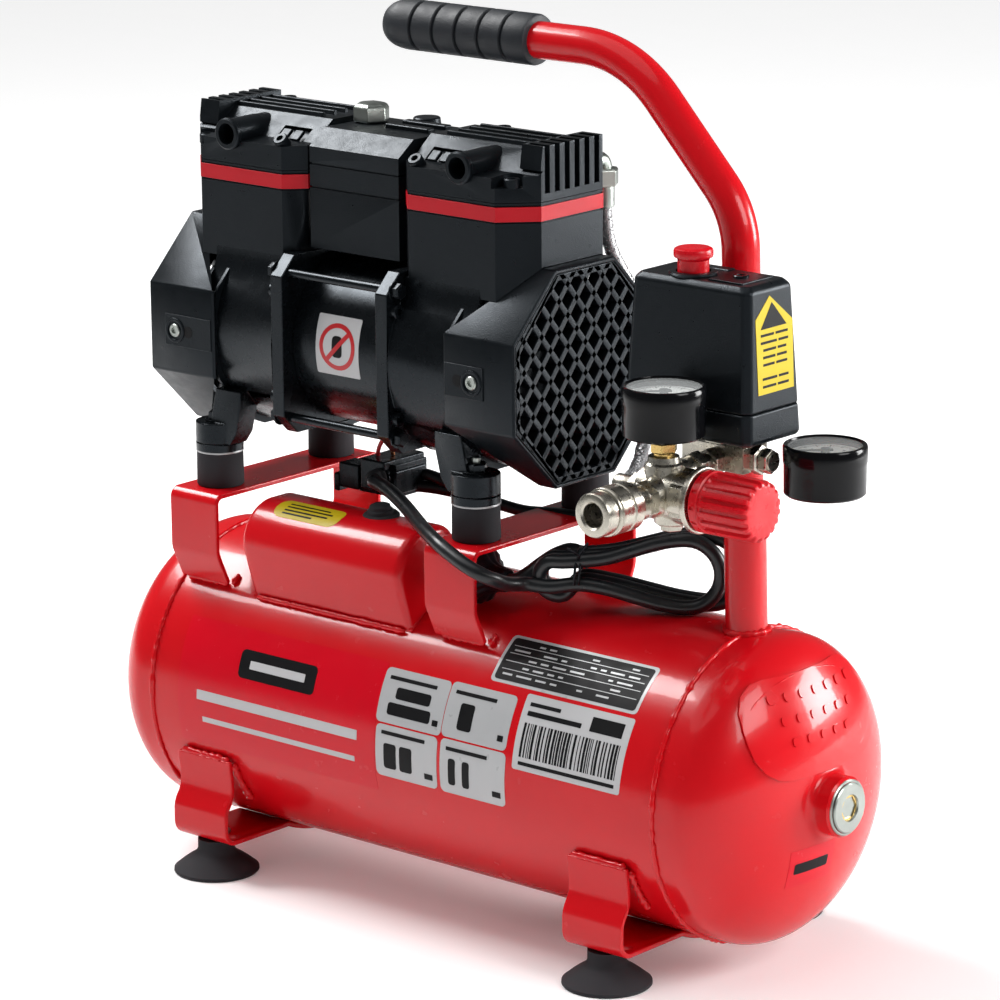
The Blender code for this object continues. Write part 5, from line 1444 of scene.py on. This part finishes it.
def make_regulator():
    spun("regulator_barrel", NICKEL, [(0, 13.4), (0.8, 14.2), (6.0, 14.2), (7.2, 12.8),
                                      (9.0, 12.6), (10.0, 13.6), (22.0, 13.6), (23.2, 14.4),
                                      (33.0, 14.6)], (180.0, REG_Y, REG_Z), AXIS_X, 64,
         replaces="regulator_body", sharp=30)
    bm = bmesh.new()
    solid([(0, 16.9), (0.6, 17.5), (3.0, 17.5), (3.6, 16.9)], (213.0, REG_Y, REG_Z), AXIS_X, 40,
          bm=bm)
    solid([(0, 14.8), (0.7, 15.6), (8.3, 15.6), (9.0, 14.8)], (203.0, REG_Y, REG_Z), AXIS_X, 6,
          bm=bm)
    solid([(0, 8.8), (0.8, 9.6), (6.2, 9.6), (7.0, 8.8)], (173.4, REG_Y, REG_Z), AXIS_X, 6, bm=bm)
    piece("regulator_rings", bm, NICKEL, bevel=0.35)
    spun("regulator_outlet", NICKEL, [(0, 10.8), (5.0, 10.2), (10.0, 9.0), (11.5, 8.6)],
         (REG_X, REG_Y - 8.0, REG_Z), -AXIS_Y, 48)
    spun("gauge_boss", NICKEL, [(0, 10.6), (6.0, 9.8), (7.0, 8.6), (10.0, 8.0)],
         (*OUTLET_GAUGE_XY, 288.0), AXIS_Z, 48)
    bm = solid([(0, 6.4), (0.8, 7.2), (5.2, 7.2), (6.0, 6.4)], (*OUTLET_GAUGE_XY, 299.6), AXIS_Z,
               6)
    solid([(0, 5.4), (11.0, 5.4)], (*OUTLET_GAUGE_XY, 297.9), AXIS_Z, 32, bm=bm)
    piece("gauge_nut", bm, BRASS, bevel=0.4)
    bm = solid([(0, 9.5), (5.5, 9.0), (6.4, 7.4), (6.8, 7.4)], (195.0, REG_Y, REG_Z - 9.0),
               -AXIS_Z, 40)
    solid([(0, 6.2), (2.4, 6.2), (3.0, 5.4)], (195.0, REG_Y, REG_Z - 15.8), -AXIS_Z, 6, bm=bm)
    piece("regulator_plug", bm, NICKEL, bevel=0.3)
    bm = solid([(0, 6.6), (30, 6.6)], (REG_X, -45, 287.0), -AXIS_Y, 32)
    solid([(0, 8.4), (0.6, 9.2), (7.4, 9.2), (8.0, 8.4)], (REG_X, -57, 287.0), -AXIS_Y, 6, bm=bm)
    piece("regulator_inlet", bm, NICKEL, bevel=0.35)

    start, end = (corner.x for corner in place_of("regulator_knob"))
    reach = end - start
    count, ridges = 288, 18

    def ridge(step, _):
        wave = cos(2 * pi * step * ridges / count)
        return min(1.0, max(0.0, 0.5 - 1.6 * wave))

    stations = [(0, 10.2, 0), (0, 15.2, 0), (0.8, 16.2, 0), (5.2, 16.2, 0), (5.8, 15.4, 0),
                (7.0, 15.4, 0), (7.6, 16.2, 0.2), (8.6, 16.2, 1.5), (reach - 3.0, 16.1, 1.6),
                (reach - 1.6, 15.7, 1.6), (reach - 0.7, 14.9, 1.3), (reach - 0.2, 13.9, 0.7),
                (reach, 12.6, 0), (reach - 0.3, 6.0, 0), (reach - 0.3, 0.8, 0)]
    knob = piece("regulator_dial", turned(stations, (start, REG_Y, REG_Z), AXIS_X, count, ridge),
                 KNOB_RED, body="regulator_knob", replaces="regulator_knob", sharp=50)
    carve(knob, rod((start - 1, REG_Y, REG_Z), (start + 22, REG_Y, REG_Z), 9.8, 48))
    notches = bmesh.new()
    for angle in circle(12):
        y, z = REG_Y + 16.4 * cos(angle), REG_Z + 16.4 * sin(angle)
        rod((start + 1.4, y, z), (start + 4.6, y, z), 1.1, 10, bm=notches)
    carve(knob, notches)
    dress(knob, KNOB_RED, "regulator_knob", sharp=50)
    finish_node("regulator_spindle", STEEL)


def make_coupler():
    back, mouth = -98.0, -143.0
    spun("coupler_hexagon", NICKEL, [(1.5, 9.2), (2.4, 10.5), (9.2, 10.5), (10.0, 9.6)],
         (REG_X, back, REG_Z), -AXIS_Y, 6, bevel=0.4)
    reach = back - mouth
    profile = [(8.0, 6.0), (8.0, 9.4), (10.0, 9.8), (reach - 8.2, 9.8), (reach - 8.2, 11.0),
               (reach - 7.6, 11.6), (reach - 1.6, 11.6), (reach - 0.5, 11.0), (reach, 10.0),
               (reach, 7.4), (reach - 0.9, 6.4), (reach - 2.4, 6.0)]
    spun("coupler_tube", NICKEL, profile, (REG_X, back, REG_Z), -AXIS_Y, 64, closed=True,
         replaces="coupler_body", sharp=30)
    bm = rod((REG_X, mouth + 16, REG_Z), (REG_X, mouth + 18, REG_Z), 6.1, 32)
    lathe([(0, 0), (0, 2.2), (5, 1.6), (5.6, 0)], (REG_X, mouth + 16, REG_Z), -AXIS_Y, 20, bm=bm)
    piece("coupler_valve", bm, STEEL)
    spun("coupler_seal", RUBBER, [(0, 6.3), (0, 9.0), (7.6, 9.0), (7.6, 6.3)],
         (REG_X, mouth + 2.2, REG_Z), AXIS_Y, 40, closed=True)

    start, end = -115.0, -134.6
    reach = start - end
    count = 72

    def knurl(step, index):
        return (step + index) % 2

    stations = [(0, 11.9, 0), (0.7, 12.6, 0), (7.0, 12.6, 0), (7.5, 11.9, 0), (8.1, 11.9, 0),
                (8.5, 12.6, 0)]
    stations += [(8.9 + 0.85 * k, 12.75, 0.55) for k in range(10)]
    stations += [(17.2, 12.6, 0), (17.6, 12.0, 0), (18.2, 12.0, 0), (18.6, 12.6, 0),
                 (reach - 0.4, 12.3, 0), (reach, 11.6, 0)]
    sleeve = piece("coupler_collar", turned(stations, (REG_X, start, REG_Z), -AXIS_Y, count,
                                            knurl), NICKEL, body="coupler_sleeve",
                   replaces="coupler_sleeve", sharp=25)
    carve(sleeve, rod((REG_X, start + 5, REG_Z), (REG_X, end - 5, REG_Z), 10.1, 64))
    dress(sleeve, NICKEL, "coupler_sleeve", sharp=25)


def make_gauge(which):
    x, y, z = GAUGES[which]
    radius, rise = GAUGE_RADIUS, GAUGE_HEIGHT
    floor = rise - 5.0
    bm = solid([(0, radius - 1.6), (0.9, radius - 0.7), (rise * 0.62, radius - 0.5),
                (rise * 0.66, radius - 0.1), (rise - 1.2, radius), (rise - 0.3, radius - 0.5),
                (rise, radius - 1.2), (rise, radius - 2.0), (rise - 1.6, radius - 2.5),
                (floor, radius - 2.7)], (x, y, z), AXIS_Z, 96)
    slot = "black_plastic"
    piece(f"gauge_cup_{which}", bm, GLOSS, replaces=f"gauge_case_{which}", slot=slot)
    top = z + floor
    spun(f"gauge_dial_{which}", DIAL, [(-0.3, radius - 2.8), (0.12, radius - 2.8)], (x, y, top),
         AXIS_Z, 64, slot=slot)
    marks = bmesh.new()
    zero = 225.0
    for step in range(51):
        angle = radians(zero - 270.0 * step / 50)
        out = Vector((cos(angle), sin(angle), 0))
        across = Vector((-out.y, out.x, 0)) * (0.28 if step % 5 == 0 else 0.13)
        inner = 13.6 if step % 5 == 0 else 15.2
        base = Vector((x, y, top + 0.1))
        spoke(marks, base, out, across, inner, 17.4, (0, 0, 0.08))
    for step, text in enumerate(("0", "2", "4", "6", "8", "10")):
        angle = radians(zero - 270.0 * step / 5)
        centre = (x + 10.6 * cos(angle), y + 10.6 * sin(angle), top + 0.14)
        numeral(marks, text, centre, 4.2)
    piece(f"gauge_marks_{which}", marks, INK, slot=slot)
    arc_marks = bmesh.new()
    for step in range(12):
        a0, a1 = (radians(zero - 270.0 * (0.80 + 0.2 * k / 12)) for k in (step, step + 1))
        corners = [Vector((x + r * cos(a), y + r * sin(a), top + 0.1))
                   for r, a in ((17.6, a0), (18.8, a0), (18.8, a1), (17.6, a1))]
        film(arc_marks, corners, (0, 0, 0.08))
    piece(f"gauge_redline_{which}", arc_marks, WARN_RED, slot=slot)
    piece(f"gauge_lens_{which}", lathe([(0, 0), (0, radius - 2.55), (0.9, radius - 2.5),
                                        (1.3, radius - 4.0), (1.6, radius * 0.5), (1.7, 0)],
                                       (x, y, z + rise - 2.0), AXIS_Z, 64), LENS, slot=slot)
    finish_node(f"gauge_needle_{which}", INK)
    if which == "tank":
        bm = solid([(0, 5.0), (12, 5.0)], (212.3, -36, MANIFOLD_Z), AXIS_X, 32)
        solid([(0, 6.2), (0.8, 6.8), (4.6, 6.8), (5.4, 6.2)], (218.0, -36, MANIFOLD_Z), AXIS_X, 6,
              bm=bm)
        piece("tank_gauge_stem", bm, NICKEL, bevel=0.3)


def make_switch():
    rounded("switch_base", PLASTIC, 1.2, 3)
    rounded("switch_cover", PLASTIC, 3.0, 4)
    top = SWITCH_TOP_Z
    x, y = KNOB_AT
    spun("switch_collar", PLASTIC, [(0, 9.2), (0, 12.6), (0.8, 12.9), (1.8, 12.2), (2.0, 9.2)],
         (x, y, top - 0.2), AXIS_Z, 56, closed=True)
    bm = bmesh.new()
    box((192, -50, top - 0.3), (214, -24, top + 0.9), bm)
    box((160, -26, top - 0.3), (186, -20, top + 0.7), bm)
    piece("switch_relief", bm, PLASTIC, bevel=0.5)
    screws = bmesh.new()
    screw((203, -37, top + 0.5), AXIS_Z, 4.2, 1.6, screws)
    piece("switch_screw", screws, CASTING, slot="black_plastic")
    rise = 14.0
    piece("switch_button", lathe([(-12, 0), (-12, 8.2), (rise - 6.4, 8.2), (rise - 5.6, 8.8),
                                  (rise - 5.0, 10.0), (rise - 4.2, 10.3), (rise - 1.8, 10.3),
                                  (rise - 0.8, 9.9), (rise - 0.2, 8.8), (rise, 6.8),
                                  (rise - 0.3, 4.0), (rise - 0.4, 0)], (x, y, top), AXIS_Z, 64),
          KNOB_RED, body="switch_knob", replaces="switch_knob")

    def face(y, z, lift):
        return Vector((226.0 - 4.0 * (z - 302.0) / 82.0 + lift, y, z))

    def sticker(name, material, shapes, low, high):
        bm = bmesh.new()
        for shape in shapes:
            film(bm, [face(y, z, low) for y, z in shape], (high - low, 0, 0))
        piece(name, bm, material, slot="black_plastic")

    def bar(y0, y1, z0, z1):
        return [(y0, z0), (y1, z0), (y1, z1), (y0, z1)]

    sticker("switch_label", YELLOW, [[(-50.5, 367), (-38.3, 378), (-20, 363.3), (-20.6, 328),
                                      (-50, 328)]], -0.3, 0.2)
    sticker("switch_label_marks", INK, [[(-46.6, 361.5), (-25.2, 361.5), (-36.8, 374.5)]]
            + [bar(*words, z, z + 1.3) for z in (357.6, 353.8, 350.0, 346.2, 342.4, 335.2, 331.2)
               for words in ((-45 - z % 2, -36.5 + z % 3), (-35 + z % 3, -26 + z % 2))], 0.1, 0.35)


def make_all():
    make_tank()
    make_tank_labels()
    make_feet()
    make_pump_brackets()
    make_handle()
    make_motor()
    for side in (-1, 1):
        make_crankcase(side)
        make_crank_cover(side)
        make_tower(side)
        make_head_cover(side)
        make_fan(side)
        make_shroud(side)
        finish_node(f"piston_{side_name(side)}", SPINDLE)
    make_air_duct()
    make_capacitor_cover()
    make_terminal_block()
    make_manifold()
    make_regulator()
    make_coupler()
    for which in GAUGES:
        make_gauge(which)
    make_switch()
    make_hose()
    finish_node("stator_core", COPPER)
    finish_node("rotor_shaft", STEEL)


make_camera()
make_cord()
make_studio()
make_all()
